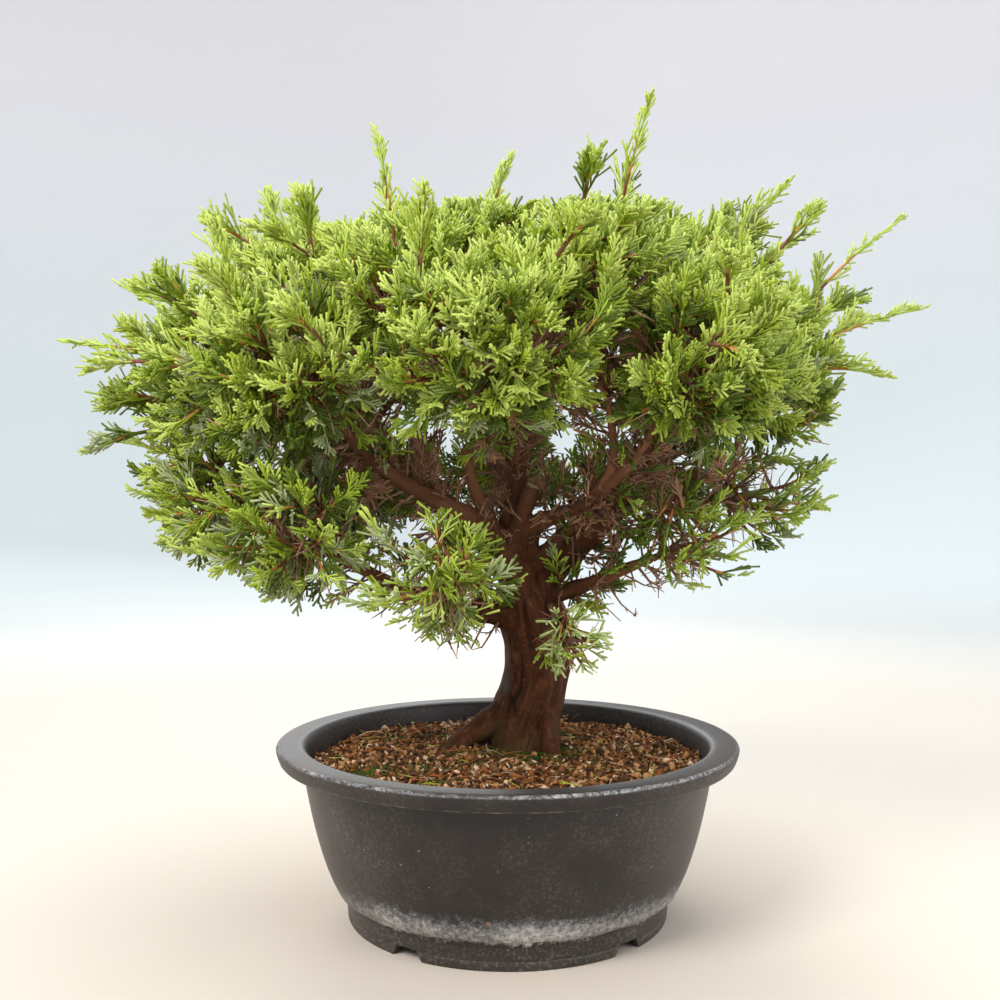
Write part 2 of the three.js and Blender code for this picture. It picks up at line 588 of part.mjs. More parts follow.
function makeTree() {
  const spaces = makeSpaces();
  const trunk = trunkLimb();
  const limbs = { trunk };
  const entryOf = (name, source) => {
    const { middle } = spaces[name];
    const back = source.clone().sub(middle).normalize();
    return middle.clone().addScaledVector(back, ENTRY_SHARE * edgeDistance(spaces[name], middle, back));
  };
  const rows = Object.entries(MASSES);
  const starts = {};
  for (const [name, { from: [bough, share] }] of rows) {
    if (share !== 1) continue;
    const [base, ...points] = BOUGHS[bough];
    const path = points.map(vector);
    path.push(entryOf(name, path[path.length - 1]));
    limbs["bough_" + bough] = limb(path, base, BOUGH_TIP, BOUGH_SIDES);
    starts[name] = { ...limbs["bough_" + bough], radius: BOUGH_TIP };
  }
  rows.forEach(([name, { from: [bough, share] }], index) => {
    if (share === 1) return;
    if (bough === "trunk") {
      starts[name] = { tip: trunkSprayRoot(), radius: LIMB_TIP };
      return;
    }
    const parent = limbs["bough_" + bough];
    const fork = parent.curve.getPoint(share);
    const base = Math.max(LIMB_TIP + 0.4, LIMB_SHARE * parent.radiusAt(share));
    const path = forkPath(parent, share, entryOf(name, fork), seeded(index + 101));
    limbs["limb_" + name] = limb(path, base, LIMB_TIP, LIMB_SIDES);
    starts[name] = { ...limbs["limb_" + name], radius: LIMB_TIP };
  });

  const tree = new THREE.Group();
  tree.add(named("trunk", geometryOf(trunkSolid(0)), COLOURS.bark));
  const earlier = [trunk.grown(CLEAR)];
  for (const [name, made] of Object.entries(limbs)) {
    if (name === "trunk") continue;
    const solid = earlier.reduce((whole, other) => whole.subtract(other), made.grown(0));
    earlier.push(made.grown(CLEAR));
    tree.add(named(name, geometryOf(solid), COLOURS.bark));
  }
  const obstacles = Object.values(limbs);
  rows.forEach(([name], index) => {
    tree.add(growMass(name, index, spaces[name], starts[name], obstacles));
  });
  return tree;
}

const bonsai = new THREE.Group();
bonsai.add(makePot(), makeSoil(), makeTree());

export default bonsai;
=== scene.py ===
import functools
import math

import bpy
import numpy as np
from bpy.props import FloatProperty, FloatVectorProperty, IntProperty, PointerProperty
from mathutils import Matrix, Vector, noise


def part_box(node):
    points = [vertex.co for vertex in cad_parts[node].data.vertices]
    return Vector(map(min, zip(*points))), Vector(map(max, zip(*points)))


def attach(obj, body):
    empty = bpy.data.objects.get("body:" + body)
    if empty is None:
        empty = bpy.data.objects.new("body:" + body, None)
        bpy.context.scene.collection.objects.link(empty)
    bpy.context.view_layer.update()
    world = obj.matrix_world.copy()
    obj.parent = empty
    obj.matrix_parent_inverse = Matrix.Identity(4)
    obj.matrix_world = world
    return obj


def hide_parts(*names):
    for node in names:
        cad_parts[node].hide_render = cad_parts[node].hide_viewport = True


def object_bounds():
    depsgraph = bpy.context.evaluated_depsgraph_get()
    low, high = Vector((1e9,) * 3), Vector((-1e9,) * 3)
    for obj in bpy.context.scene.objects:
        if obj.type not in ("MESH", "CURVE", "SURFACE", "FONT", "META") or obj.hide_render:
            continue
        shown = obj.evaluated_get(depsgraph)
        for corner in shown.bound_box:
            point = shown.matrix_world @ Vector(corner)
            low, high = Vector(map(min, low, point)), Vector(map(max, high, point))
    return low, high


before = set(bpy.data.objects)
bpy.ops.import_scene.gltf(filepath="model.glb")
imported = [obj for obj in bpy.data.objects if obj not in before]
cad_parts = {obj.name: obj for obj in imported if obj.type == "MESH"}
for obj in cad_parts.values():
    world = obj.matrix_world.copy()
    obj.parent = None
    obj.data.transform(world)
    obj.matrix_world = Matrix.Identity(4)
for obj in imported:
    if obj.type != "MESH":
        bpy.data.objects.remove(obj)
CAD_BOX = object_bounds()

bl_info = {
    "name": "Potted juniper bonsai",
    "version": (1, 0, 0),
    "blender": (4, 5, 0),
    "location": "3D View > Sidebar > Juniper",
    "description": "Dresses the packed frame of a juniper bonsai: pot, soil, bark, twigs and scaly leaves",
    "category": "Object",
}

MM = 0.001
UP = np.array((0.0, 0.0, 1.0))

# The frame's box in millimetres, and how far inside it the tips of the wands stay
CAD_BOX_MM = np.array([list(corner) for corner in CAD_BOX]) / MM
WAND_BERTH = 1.0

# The upper corner of the pot's box in the frame, in metres
POT_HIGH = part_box("pot")[1]

# The tree's own growth, in millimetres, by the rule and the names of the part's source: the crown's heart,
# the radii of tips, how a limb thins and its share of its bough, how it bends out, where a mass's stem
# starts, bends and ends, how its axis leans, how widely its twigs fan, the gap between masses, steps that
# spread numbers evenly, and the level of the trunk's foot
HEART = np.array((8.0, 0.0, 235.0))
BOUGH_TIP = 2.4
LIMB_TIP = 1.9
LIMB_TAPER = 0.75
LIMB_SHARE = 0.62
FORK = {"out": 0.16, "over": 0.62, "sway": 0.16}
ENTRY_SHARE = 0.5
HUB_SHARE = 0.4
STEM_PAST = 0.3
AXIS_OUT = 0.7
AXIS_UP = 0.25
WIDEST_FAN = 2.05
SPACE_GAP = 0.5
EVEN = {"lean": 0.7548776662466927, "turn": 0.5698402909980532, "along": 0.6180339887}
TRUNK_FOOT = 90.3
# Each trunk section: height, middle x and y, radius
TRUNK_SECTIONS = (
    (TRUNK_FOOT, 6, 8, 25),
    (98, 6, 8, 24),
    (106, 8, 8, 22.5),
    (116, 12, 8, 20.5),
    (128, 16, 8, 19),
    (142, 17, 8, 18.5),
    (158, 15, 7, 19),
    (174, 13, 6, 18.5),
    (190, 10, 6, 14.5),
    (204, 8, 6, 10.5),
)
# Each root flare: azimuth, how far it reaches past the trunk, half its spread in degrees
ROOT_FLARES = ((188, 15, 26), (318, 6, 20), (262, 4, 16), (75, 12, 24), (128, 7, 18))
FLARE_FADE = 11
# The roots that stand out of the foot in place of the first flare, and how much slimmer the foot is for them:
# the radius at both ends, then the points each passes
ROOTS = (
    (11.5, 5.0, (9, 7, 119), (-4, 6, 108), (-16, 5, 100.5), (-28, 4, 92), (-37, 4, 83)),
    (5.0, 4.2, (20, -3, 119), (21.5, -10, 107), (24, -14.5, 95), (26, -18, 84)),
)
FOOT_SLIMMER = 4.0
# Bare old forks in front of the boughs: the radius at both ends, then the points each passes
OLD_FORKS = (
    (5.4, 2.6, (1, -1, 202), (-9, -8, 219), (-19, -13, 240), (-24, -18, 262)),
    (4.6, 3.0, (13, -4, 190), (23, -9, 205), (38, -8, 219), (62, 1, 229)),
)
# The stubs left where twigs and a bough were cut: the radius, then where each starts and ends
STUBS = (
    (2.6, (-23, -12, 172), (-24, -25, 169)),
    (4.3, (3, -3, 208), (14.5, -11, 241)),
    (7.4, (9, 2, 188), (8, -10.5, 190)),
    (1.5, (32, -8, 182), (41, -13, 180)),
)
# How many of the stubs, from the first on, show pale cut wood
PALE_STUBS = 2
# How far the trunk is from round, and where its spray leaves it: the section, the azimuth, the gap
TRUNK_RIPPLE = 0.05
TRUNK_SPRAY = {"section": 7, "azimuth": 304, "clear": 0.3}

# Each bough: radius where it leaves the trunk, then the points it passes
BOUGHS = {
    "left_low": (8, (14, 5, 162), (-8, -6, 169), (-28, -15, 173), (-58, -30, 184), (-78, -42, 196)),
    "left": (8.5, (11, 5, 192), (-6, -3, 210), (-22, -13, 223), (-46, -26, 236), (-70, -40, 252)),
    "leader": (8.5, (8, 6, 196), (3, 7, 222), (6, 6, 246), (0, 4, 276), (-10, 2, 306)),
    "front": (6, (10, 2, 200), (14, -10, 217), (27, -20, 224), (43, -30, 231), (60, -44, 246)),
    "right": (10, (13, 6, 184), (36, 2, 204), (54, 2, 219), (70, 3, 234), (84, 5, 254), (93, 6, 288)),
    "right_low": (5, (17, 4, 176), (30, -7, 180), (43, -14, 185), (55, -22, 190), (66, -31, 196)),
    "back_left": (8, (8, 9, 186), (-12, 25, 206), (-32, 42, 226), (-58, 58, 248), (-78, 68, 266)),
    "back": (7, (9, 10, 192), (4, 30, 214), (0, 52, 234), (-4, 72, 256), (-3, 88, 272)),
    "back_right": (8, (13, 8, 188), (32, 26, 206), (52, 42, 224), (72, 56, 244), (88, 66, 264)),
}

# Each mass: its bough and how far along it, its middle, its reach, whether it is dense, its shoots' tips
MASSES = {
    "left_front_low": ("left_low", 1, (-108, -76, 214), (55, 54, 37), True, ()),
    "front_low": ("left_low", 0.42, (-30, -98, 195), (44, 36, 31), True, ()),
    "trunk_spray": ("trunk", 0, (32, -52, 158), (27, 26, 24), False, ()),
    "left_low": ("left", 0.62, (-156, -8, 235), (58, 60, 45), True, ((-226, -6, 266),)),
    "back_left_low": ("back_left", 0.62, (-98, 84, 240), (56, 52, 40), True, ()),
    "back_low": ("back", 0.55, (6, 112, 258), (55, 50, 34), False, ()),
    "back_right_low": ("back_right", 0.6, (104, 78, 258), (54, 52, 35), False, ()),
    "right_low": ("right", 0.42, (140, -2, 236), (50, 52, 35), False, ()),
    "right_front_low": ("right_low", 1, (92, -48, 208), (44, 34, 27), False, ()),
    "left": ("left", 0.8, (-160, 0, 299), (58, 62, 50), True, ((-247, -20, 320), (-219, 0, 354))),
    "left_front": ("left", 1, (-110, -84, 296), (58, 56, 48), True, ()),
    "front": ("leader", 0.42, (-8, -118, 302), (60, 52, 47), True, ()),
    "right_front": ("front", 1, (95, -88, 298), (58, 54, 47), True, ()),
    "right": (
        "right", 0.72, (144, 2, 304), (51, 60, 47), True,
        ((228, 10, 395), (233, -10, 340), (206, -30, 300)),
    ),
    "back_right": ("back_right", 1, (108, 84, 310), (56, 54, 46), True, ((162, 128, 366),)),
    "back": ("back", 1, (2, 124, 310), (60, 50, 46), True, ((34, 188, 352),)),
    "back_left": ("back_left", 1, (-108, 86, 308), (58, 54, 46), True, ((-176, 122, 352),)),
    "left_top": (
        "leader", 0.62, (-112, 5, 350), (60, 56, 46), True, ((-112, -20, 397), (-171, 0, 389)),
    ),
    "left_front_top": ("leader", 0.72, (-60, -70, 334), (54, 50, 41), True, ((-68, -60, 420),)),
    "right_front_top": ("front", 0.62, (45, -74, 342), (55, 50, 42), True, ()),
    "right_top": ("right", 1, (108, 6, 350), (60, 56, 45), True, ((155, -20, 408), (176, 10, 386))),
    "back_right_top": ("back_right", 0.8, (50, 74, 352), (55, 52, 42), True, ((70, 104, 418),)),
    "back_left_top": ("back_left", 0.8, (-54, 74, 350), (56, 52, 42), True, ((-84, 92, 412),)),
    "crest_left": ("leader", 1, (-24, 0, 366), (56, 52, 38), True, ((2, 0, 426),)),
    "crest_right": ("right", 0.88, (52, 4, 366), (54, 52, 38), True, ((80, -10, 457),)),
}

# The masses whose leaves are joined into one piece
LEAF_REGIONS = {
    "leaves_low": ("left_front_low", "front_low", "trunk_spray", "left_low", "back_left_low"),
    "leaves_low_right": ("back_low", "back_right_low", "right_low", "right_front_low"),
    "leaves_left": ("left", "left_front", "left_top", "left_front_top"),
    "leaves_front": ("front", "right_front", "right_front_top", "crest_right"),
    "leaves_right": ("right", "right_top", "back_right", "back_right_top"),
    "leaves_back": ("back", "back_left", "back_left_top", "crest_left"),
}
# The piece that the sprigs on the limbs are joined with
SPRIG_REGION = "leaves_low_right"


# A setting that is a length in metres, and one that is a colour
LengthProperty = functools.partial(FloatProperty, unit="LENGTH")
ColourProperty = functools.partial(FloatVectorProperty, size=3, subtype="COLOR")


class PotSettings(bpy.types.PropertyGroup):
    """Sizes and colours of the training pot"""

    height: LengthProperty(name="Height", description="Foot to rim", default=POT_HIGH.z)
    rim_radius: LengthProperty(
        name="Rim radius", description="Middle to the rim's outside", default=POT_HIGH.x
    )
    bowl_radius: LengthProperty(
        name="Bowl radius", description="Middle to the wall under the rim", default=0.116
    )
    foot_radius: LengthProperty(name="Foot radius", description="Middle to the foot's outside", default=0.092)
    wall: LengthProperty(name="Wall", description="Thickness of the plastic", default=0.003)
    sides: IntProperty(name="Sides", description="Straight steps round the pot", default=192, min=24)
    plastic: ColourProperty(
        name="Plastic", description="Colour of the bare plastic", default=(0.0142, 0.0102, 0.0092)
    )
    # This colour also paints a sheen at the pot's left and right sides
    dust_and_sheen: ColourProperty(
        name="Dust", description="Colour of the dry dust on the wall", default=(0.19, 0.155, 0.125)
    )
    lime: ColourProperty(
        name="Lime", description="Colour of the hard-water marks near the foot", default=(0.52, 0.5, 0.47)
    )


class SoilSettings(bpy.types.PropertyGroup):
    """Sizes and colours of the soil and what lies on it"""

    grains: IntProperty(name="Grains", description="Loose grains on the surface", default=7800, min=0)
    grain_size: LengthProperty(name="Grain size", description="Width of a middling grain", default=0.0021)
    moss: IntProperty(name="Moss", description="Blades of moss", default=5200, min=0)
    litter: IntProperty(name="Litter", description="Fallen twiglets and sprigs", default=460, min=0)
    earth: ColourProperty(
        name="Earth", description="Colour of the damp soil between the grains", default=(0.055, 0.026, 0.012)
    )


class BarkSettings(bpy.types.PropertyGroup):
    """Sizes and colours of the bark"""

    detail: LengthProperty(
        name="Detail", description="Width of the bark mesh's smallest faces", default=0.00118
    )
    relief: LengthProperty(name="Relief", description="Depth of the cracks on the trunk", default=0.0009)
    brown: ColourProperty(name="Brown", description="Colour of the bark", default=(0.062, 0.0202, 0.008))
    worn: ColourProperty(
        name="Worn", description="Colour of the weathered flakes", default=(0.205, 0.088, 0.042)
    )


class CrownSettings(bpy.types.PropertyGroup):
    """Sizes and colours of the twigs and the scaly leaves"""

    twigs: IntProperty(name="Twigs", description="Twigs of a dense mass", default=15, min=1)
    open_twigs: IntProperty(name="Open twigs", description="Twigs of an open mass", default=12, min=1)
    plumes: IntProperty(name="Plumes", description="Plumes that a middling mass aims at", default=138, min=1)
    wands: FloatProperty(
        name="Wands", description="Share of the outer plumes that stand out", default=0.34, min=0, max=1
    )
    cord: LengthProperty(name="Leaf cord", description="Thickness of a scaly leaf cord", default=0.00158)
    bright: ColourProperty(name="Bright", description="Leaves at the sunny tips", default=(0.4, 0.485, 0.082))
    fresh: ColourProperty(name="Fresh", description="Most of the outer leaves", default=(0.3, 0.382, 0.024))
    mid: ColourProperty(name="Mid", description="Leaves further in", default=(0.195, 0.268, 0.01))
    deep: ColourProperty(name="Deep", description="Dark leaves", default=(0.088, 0.132, 0.004))
    grey: ColourProperty(name="Grey", description="Old blue-grey leaves low down", default=(0.3, 0.34, 0.15))
    pale: ColourProperty(
        name="Pale", description="Pale leaves of the lowest sprays", default=(0.47, 0.55, 0.2)
    )
    dead: ColourProperty(name="Dead", description="Dead leaves inside the crown", default=(0.27, 0.13, 0.066))


class StageSettings(bpy.types.PropertyGroup):
    """Sizes and colours of the floor and the wall, and the camera"""

    floor: ColourProperty(name="Floor", description="Colour of the floor", default=(0.6, 0.53, 0.455))
    # The floor further off is painted darker than the near floor, a painted shade
    far: ColourProperty(name="Far", description="Colour of the floor further off", default=(0.52, 0.49, 0.44))
    haze: ColourProperty(
        name="Haze", description="Colour where the floor curves up", default=(0.6, 0.655, 0.665)
    )
    wall: ColourProperty(name="Wall", description="Colour of the wall above it", default=(0.74, 0.715, 0.745))
    radius: LengthProperty(name="Radius", description="Middle to the round wall", default=2.4)
    camera: FloatVectorProperty(
        name="Camera", description="Where the photograph was taken from", size=3,
        default=(-0.00426, -0.6478, 0.2338), subtype="TRANSLATION", unit="LENGTH",
    )
    lens: FloatProperty(name="Lens", description="Focal length in millimetres", default=40.795)


# Small sums


def unit(vectors):
    """The vectors at length 1"""
    return vectors / np.maximum(np.linalg.norm(vectors, axis=-1, keepdims=True), 1e-9)


def mix(a, b, share):
    """What lies a share of the way from a to b"""
    return a + (b - a) * share


def smoothstep(low, high, values):
    """0 at low, 1 at high, and a smooth rise between"""
    share = np.clip((values - low) / (high - low), 0, 1)
    return share * share * (3 - 2 * share)


def dot(a, b):
    """The dot product of each pair of vectors"""
    return np.sum(a * b, axis=-1, keepdims=True)


def circle(sides):
    """Evenly spaced angles round a circle"""
    return np.arange(sides) * 2 * math.pi / sides


def turned(profile, sides):
    """The points of a profile of radii and heights turned about the Z axis, ring by ring"""
    return [(r * math.cos(a), r * math.sin(a), z) for r, z in profile for a in circle(sides)]


def ring_points(sides):
    """The numbers of a ring's points, and of the point after each"""
    numbers = np.arange(sides)
    return numbers, (numbers + 1) % sides


def fan_faces(ring, after, middle):
    """Triangles from a ring's points and the points after them to one in the middle"""
    return np.stack((ring, after, np.full(len(ring), middle)), -1)


def ring_faces(rings, sides):
    """Triangles that join each of a row of rings to the next"""
    a, b = ring_points(sides)
    low = np.arange(rings - 1)[:, None] * sides
    high = low + sides
    pair = np.stack((low + a, low + b, high + a), -1), np.stack((low + b, high + b, high + a), -1)
    return np.stack(pair, axis=1).reshape(-1, 3)


def copies(shape, corners, count):
    """The faces of many like shapes that follow one another, each with as many corners"""
    return (shape[None] + corners * np.arange(count)[:, None, None]).reshape(-1, 3)


def joined(shells):
    """Several sets of points and faces as one"""
    points, faces, count = [], [], 0
    for shell_points, shell_faces in shells:
        points.append(shell_points)
        faces.append(shell_faces + count)
        count += len(shell_points)
    return np.vstack(points), np.vstack(faces)


def beside(heading):
    """Two directions square to each heading and to each other"""
    first = unit(np.cross(heading, UP + 0.013 * np.array((1.0, 0.6, 0.0))))
    return first, np.cross(heading, first)


def seeded(seed):
    """The source's seeded run of numbers between 0 and 1"""
    state = (seed * 2654435761) & 0xFFFFFFFF
    count = 0
    while True:
        state = (state * 1664525 + 1013904223) & 0xFFFFFFFF
        count += 1
        if count > 2:
            yield state / 4294967296


def smooth_curve(points, shares):
    """Places on a smooth curve through the points, and its heading there"""
    points = np.asarray(points, float)
    ends = np.vstack((2 * points[0] - points[1], points, 2 * points[-1] - points[-2]))
    run = np.asarray(shares, float) * (len(points) - 1)
    first = np.minimum(run.astype(int), len(points) - 2)
    part = (run - first)[:, None]
    before, start, end, after = ends[first], ends[first + 1], ends[first + 2], ends[first + 3]
    leave, arrive = 0.5 * (end - before), 0.5 * (after - start)
    square = 3 * (end - start) - 2 * leave - arrive
    cube = 2 * (start - end) + leave + arrive
    place = start + leave * part + square * part**2 + cube * part**3
    return place, unit(leave + 2 * square * part + 3 * cube * part**2)


def arc_point(arc, share):
    """Places on arcs, each given by its start, its bend and its end"""
    start, bend, end = arc
    return (1 - share) ** 2 * start + 2 * share * (1 - share) * bend + share**2 * end


def arc_heading(arc, share):
    """The headings of arcs at their places"""
    start, bend, end = arc
    return unit((1 - share) * (bend - start) + share * (end - bend))


def arcs_of(rows):
    """A set of arcs as starts, bends and ends"""
    return rows["start"], rows["bend"], rows["end"]


def swayed(root, way, reach, sway):
    """Arcs that run from roots along headings, with their middles swayed aside"""
    return {"start": root, "bend": root + way * reach * 0.5 + sway, "end": root + way * reach}


def rings_round(centres, first, second, radii, sides):
    """Rings of points round centres, in the plane of two directions"""
    turns = circle(sides)
    around = first[:, None] * np.cos(turns)[None, :, None] + second[:, None] * np.sin(turns)[None, :, None]
    return centres[:, None] + around * radii[:, None, None]


# Meshes and materials


def placed(name, data):
    """An object with its data, in the scene"""
    thing = bpy.data.objects.new(name, data)
    bpy.context.scene.collection.objects.link(thing)
    return thing


def new_piece(name, points, faces, materials, kinds=None, smooth=True):
    """A piece at the origin, from points in millimetres and faces that all have as many corners"""
    faces = np.asarray(faces, np.int32)
    mesh = bpy.data.meshes.new(name)
    mesh.vertices.add(len(points))
    mesh.vertices.foreach_set("co", (np.asarray(points, np.float64) * MM).astype(np.float32).ravel())
    mesh.loops.add(faces.size)
    mesh.loops.foreach_set("vertex_index", faces.ravel())
    mesh.polygons.add(len(faces))
    mesh.polygons.foreach_set("loop_start", np.arange(0, faces.size, faces.shape[1], dtype=np.int32))
    if kinds is not None:
        mesh.polygons.foreach_set("material_index", np.asarray(kinds, np.int32))
    mesh.update(calc_edges=True)
    if smooth:
        mesh.shade_smooth()
    for material in materials:
        mesh.materials.append(material)
    return placed(name, mesh)


def mixed_piece(name, points, faces):
    """A piece at the origin, from points in millimetres and faces with any number of corners"""
    mesh = bpy.data.meshes.new(name)
    mesh.from_pydata([tuple(c * MM for c in point) for point in points], [], faces)
    return placed(name, mesh)


def finish_piece(piece, slot, *nodes):
    """Makes the piece ride on the plant's one body and stand for the CAD nodes"""
    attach(piece, "root")
    if nodes:
        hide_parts(*nodes)


def applied(piece):
    """Applies the piece's modifiers to its mesh"""
    depsgraph = bpy.context.evaluated_depsgraph_get()
    mesh = bpy.data.meshes.new_from_object(piece.evaluated_get(depsgraph))
    old = piece.data
    piece.modifiers.clear()
    piece.data = mesh
    mesh.name = old.name
    bpy.data.meshes.remove(old)
    return mesh


def mesh_points(mesh):
    """The mesh's vertices in millimetres"""
    places = np.empty(len(mesh.vertices) * 3, np.float32)
    mesh.vertices.foreach_get("co", places)
    return places.reshape(-1, 3).astype(float) / MM


def set_mesh_points(mesh, points):
    """Moves the mesh's vertices to points in millimetres"""
    mesh.vertices.foreach_set("co", (points * MM).astype(np.float32).ravel())
    mesh.update()


def set_attribute(mesh, name, values):
    """Keeps a number or a vector for each vertex, which a material reads"""
    values = np.asarray(values, np.float32)
    kind, key = ("FLOAT", "value") if values.ndim == 1 else ("FLOAT_VECTOR", "vector")
    layer = mesh.attributes.new(name, kind, "POINT")
    layer.data.foreach_set(key, values.ravel())


class Finish:
    """A node material in the making"""

    def __init__(self, name, colour=(0.5, 0.5, 0.5), roughness=0.6, specular=0.5):
        self.material = bpy.data.materials.new(name)
        self.material.use_nodes = True
        self.nodes = self.material.node_tree.nodes
        self.links = self.material.node_tree.links
        self.shader = self.nodes["Principled BSDF"]
        self.shader.inputs["Base Color"].default_value = (*colour, 1)
        self.shader.inputs["Roughness"].default_value = roughness
        self.shader.inputs["Specular IOR Level"].default_value = specular
        self.material.diffuse_color = (*colour, 1)

    def join(self, socket, value):
        """Links a socket to a value, or sets it"""
        if isinstance(value, bpy.types.NodeSocket):
            self.links.new(value, socket)
        elif isinstance(value, tuple) and len(value) == 3 and socket.type == "RGBA":
            socket.default_value = (*value, 1)
        else:
            socket.default_value = value

    def add(self, kind, **inputs):
        """A new node with its inputs"""
        node = self.nodes.new(kind)
        for key, value in inputs.items():
            self.join(node.inputs[key.replace("_", " ")], value)
        return node

    def place(self):
        """Where on the object a point is, in metres"""
        return self.nodes.new("ShaderNodeTexCoord").outputs["Object"]

    def part(self, vector, axis):
        """One of a vector's three numbers"""
        return self.add("ShaderNodeSeparateXYZ", Vector=vector).outputs[axis]

    def radius(self, place):
        """How far from the Z axis a point is, in metres"""
        flat = self.add("ShaderNodeCombineXYZ", X=self.part(place, "X"), Y=self.part(place, "Y"))
        node = self.nodes.new("ShaderNodeVectorMath")
        node.operation = "LENGTH"
        self.links.new(flat.outputs[0], node.inputs[0])
        return node.outputs["Value"]

    def attribute(self, name):
        """The node that reads what set_attribute kept"""
        node = self.nodes.new("ShaderNodeAttribute")
        node.attribute_name = name
        return node

    def noise(self, place, scale, detail=3.0, roughness=0.55):
        """Uneven patches, as many to a metre as the scale says"""
        node = self.add("ShaderNodeTexNoise", Vector=place, Scale=scale, Detail=detail, Roughness=roughness)
        return node.outputs["Fac"]

    def dots(self, place, scale, size, rarity):
        """Small round dots in some cells of an uneven grid"""
        node = self.add("ShaderNodeTexVoronoi", Vector=place, Scale=scale)
        near = self.span(node.outputs["Distance"], size * 1.5, size * 0.5)
        return self.times(near, self.span(self.part(node.outputs["Color"], "X"), rarity, rarity + 0.02))

    def sum(self, operation, a, b, clamp=True):
        """A sum of two values, kept between 0 and 1 where it is clamped"""
        node = self.nodes.new("ShaderNodeMath")
        node.operation = operation
        node.use_clamp = clamp
        self.join(node.inputs[0], a)
        self.join(node.inputs[1], b)
        return node.outputs[0]

    def times(self, a, b, clamp=True):
        """a times b"""
        return self.sum("MULTIPLY", a, b, clamp)

    def plus(self, a, b, clamp=True):
        """a plus b"""
        return self.sum("ADD", a, b, clamp)

    def minus(self, a, b, clamp=True):
        """a less b"""
        return self.sum("SUBTRACT", a, b, clamp)

    def unsigned(self, value):
        """The value without its sign"""
        return self.sum("ABSOLUTE", value, 0, clamp=False)

    def span(self, value, low, high):
        """0 at low, 1 at high, and a smooth rise between"""
        node = self.nodes.new("ShaderNodeMapRange")
        node.interpolation_type = "SMOOTHSTEP"
        self.join(node.inputs["Value"], value)
        self.join(node.inputs["From Min"], low)
        self.join(node.inputs["From Max"], high)
        return node.outputs["Result"]

    def ramp(self, value, *stops):
        """A colour or a grey for each value, from stops of (value, colour or grey)"""
        node = self.nodes.new("ShaderNodeValToRGB")
        points = node.color_ramp.elements
        while len(points) < len(stops):
            points.new(1.0)
        for point, (where, colour) in zip(points, stops):
            colour = colour if isinstance(colour, tuple) else (colour,) * 3
            point.position = where
            point.color = (*colour, 1)
        self.links.new(value, node.inputs["Fac"])
        return node.outputs["Color"]

    def blend(self, share, a, b, mode="MIX"):
        """Colour a, with colour b over it by a share"""
        node = self.nodes.new("ShaderNodeMix")
        node.data_type = "RGBA"
        node.blend_type = mode
        self.join(node.inputs["Factor"], share)
        for socket, value in zip([s for s in node.inputs if s.type == "RGBA"], (a, b)):
            self.join(socket, value)
        return [s for s in node.outputs if s.type == "RGBA"][0]

    def colour(self, value):
        """The surface's colour"""
        self.join(self.shader.inputs["Base Color"], value)

    def roughness(self, value):
        """The surface's roughness"""
        self.join(self.shader.inputs["Roughness"], value)

    def bump(self, height, distance, strength=1.0):
        """Fine relief on the surface"""
        node = self.nodes.new("ShaderNodeBump")
        self.join(node.inputs["Height"], height)
        self.join(node.inputs["Distance"], distance)
        self.join(node.inputs["Strength"], strength)
        self.links.new(node.outputs["Normal"], self.shader.inputs["Normal"])


def patchy_finish(name, colour, other, roughness, specular, patches, pits, strength):
    """Two close colours in fine patches, as many to a metre, on a pitted face"""
    finish = Finish(name, colour, roughness, specular)
    place = finish.place()
    finish.colour(finish.blend(finish.noise(place, patches, 4, 0.65), colour, other))
    finish.bump(finish.noise(place, pits, 3, 0.6), 0.0003, strength)
    return finish.material


def dealt(chance, count, table):
    """A row of a table of finishes for each of many things, by the shares at the rows' ends"""
    return chance.choice(len(table), count, p=[row[-1] for row in table.values()])


# The stage


# How far along the paper its colours change, in metres out plus twice the metres up
PAPER_STOPS = (0.1, 0.45, 0.85, 2.1, 3.3, 5.1)
PAPER_RUN = 6.0
# The share of the paper's radius that lies flat, and the painted shade that darkens it on the left
PAPER_FLAT = 0.66
PAPER_SHADE = 0.93
# Each soft light: its place, its size, its power and its colour
LIGHTS = {
    "key_light": ((-0.9, -1.1, 1.35), 0.7, 31, (1.0, 0.98, 0.95)),
    "fill_light": ((1.3, -0.9, 0.8), 1.2, 13, (0.95, 0.98, 1.0)),
    "top_light": ((0.1, 0.3, 1.7), 1.2, 20, (1.0, 1.0, 1.0)),
    "back_light": ((-0.4, 1.5, 1.0), 1.0, 14, (1.0, 1.0, 1.0)),
}
# Where the lights look, and the sky's colour
LIGHT_AIM = Vector((0, 0, 0.24))
SKY = (0.93, 0.96, 1.0)
# How far below level the camera looks, in degrees, the nearest that it sees, in metres, and how wide its
# sensor is, in millimetres
CAMERA_DIP = 0.109
CAMERA_NEAR = 0.01
SENSOR_WIDTH = 36


def paper_finish(settings):
    """Matt paper whose colour changes from the floor to the wall, with painted shade that darkens the floor
    further off and on the left
    """
    finish = Finish("stage_paper", settings.floor, 0.9, 0.1)
    place = finish.place()
    height = finish.part(place, "Z")
    run = finish.plus(finish.radius(place), finish.times(height, 2, clamp=False), clamp=False)
    # Darker further off, a painted shade, then bluer and paler up the wall
    colours = (settings.floor, settings.far, settings.far, settings.haze, settings.haze, settings.wall)
    stops = [(run_out / PAPER_RUN, tuple(colour)) for run_out, colour in zip(PAPER_STOPS, colours)]
    paper = finish.ramp(finish.sum("DIVIDE", run, PAPER_RUN), *stops)
    # Painted shade: the paper darker on its left
    shade = finish.ramp(finish.span(finish.part(place, "X"), -0.5, 0.5), (0.0, PAPER_SHADE), (1.0, 1.0))
    finish.colour(finish.blend(1.0, paper, shade, "MULTIPLY"))
    return finish.material


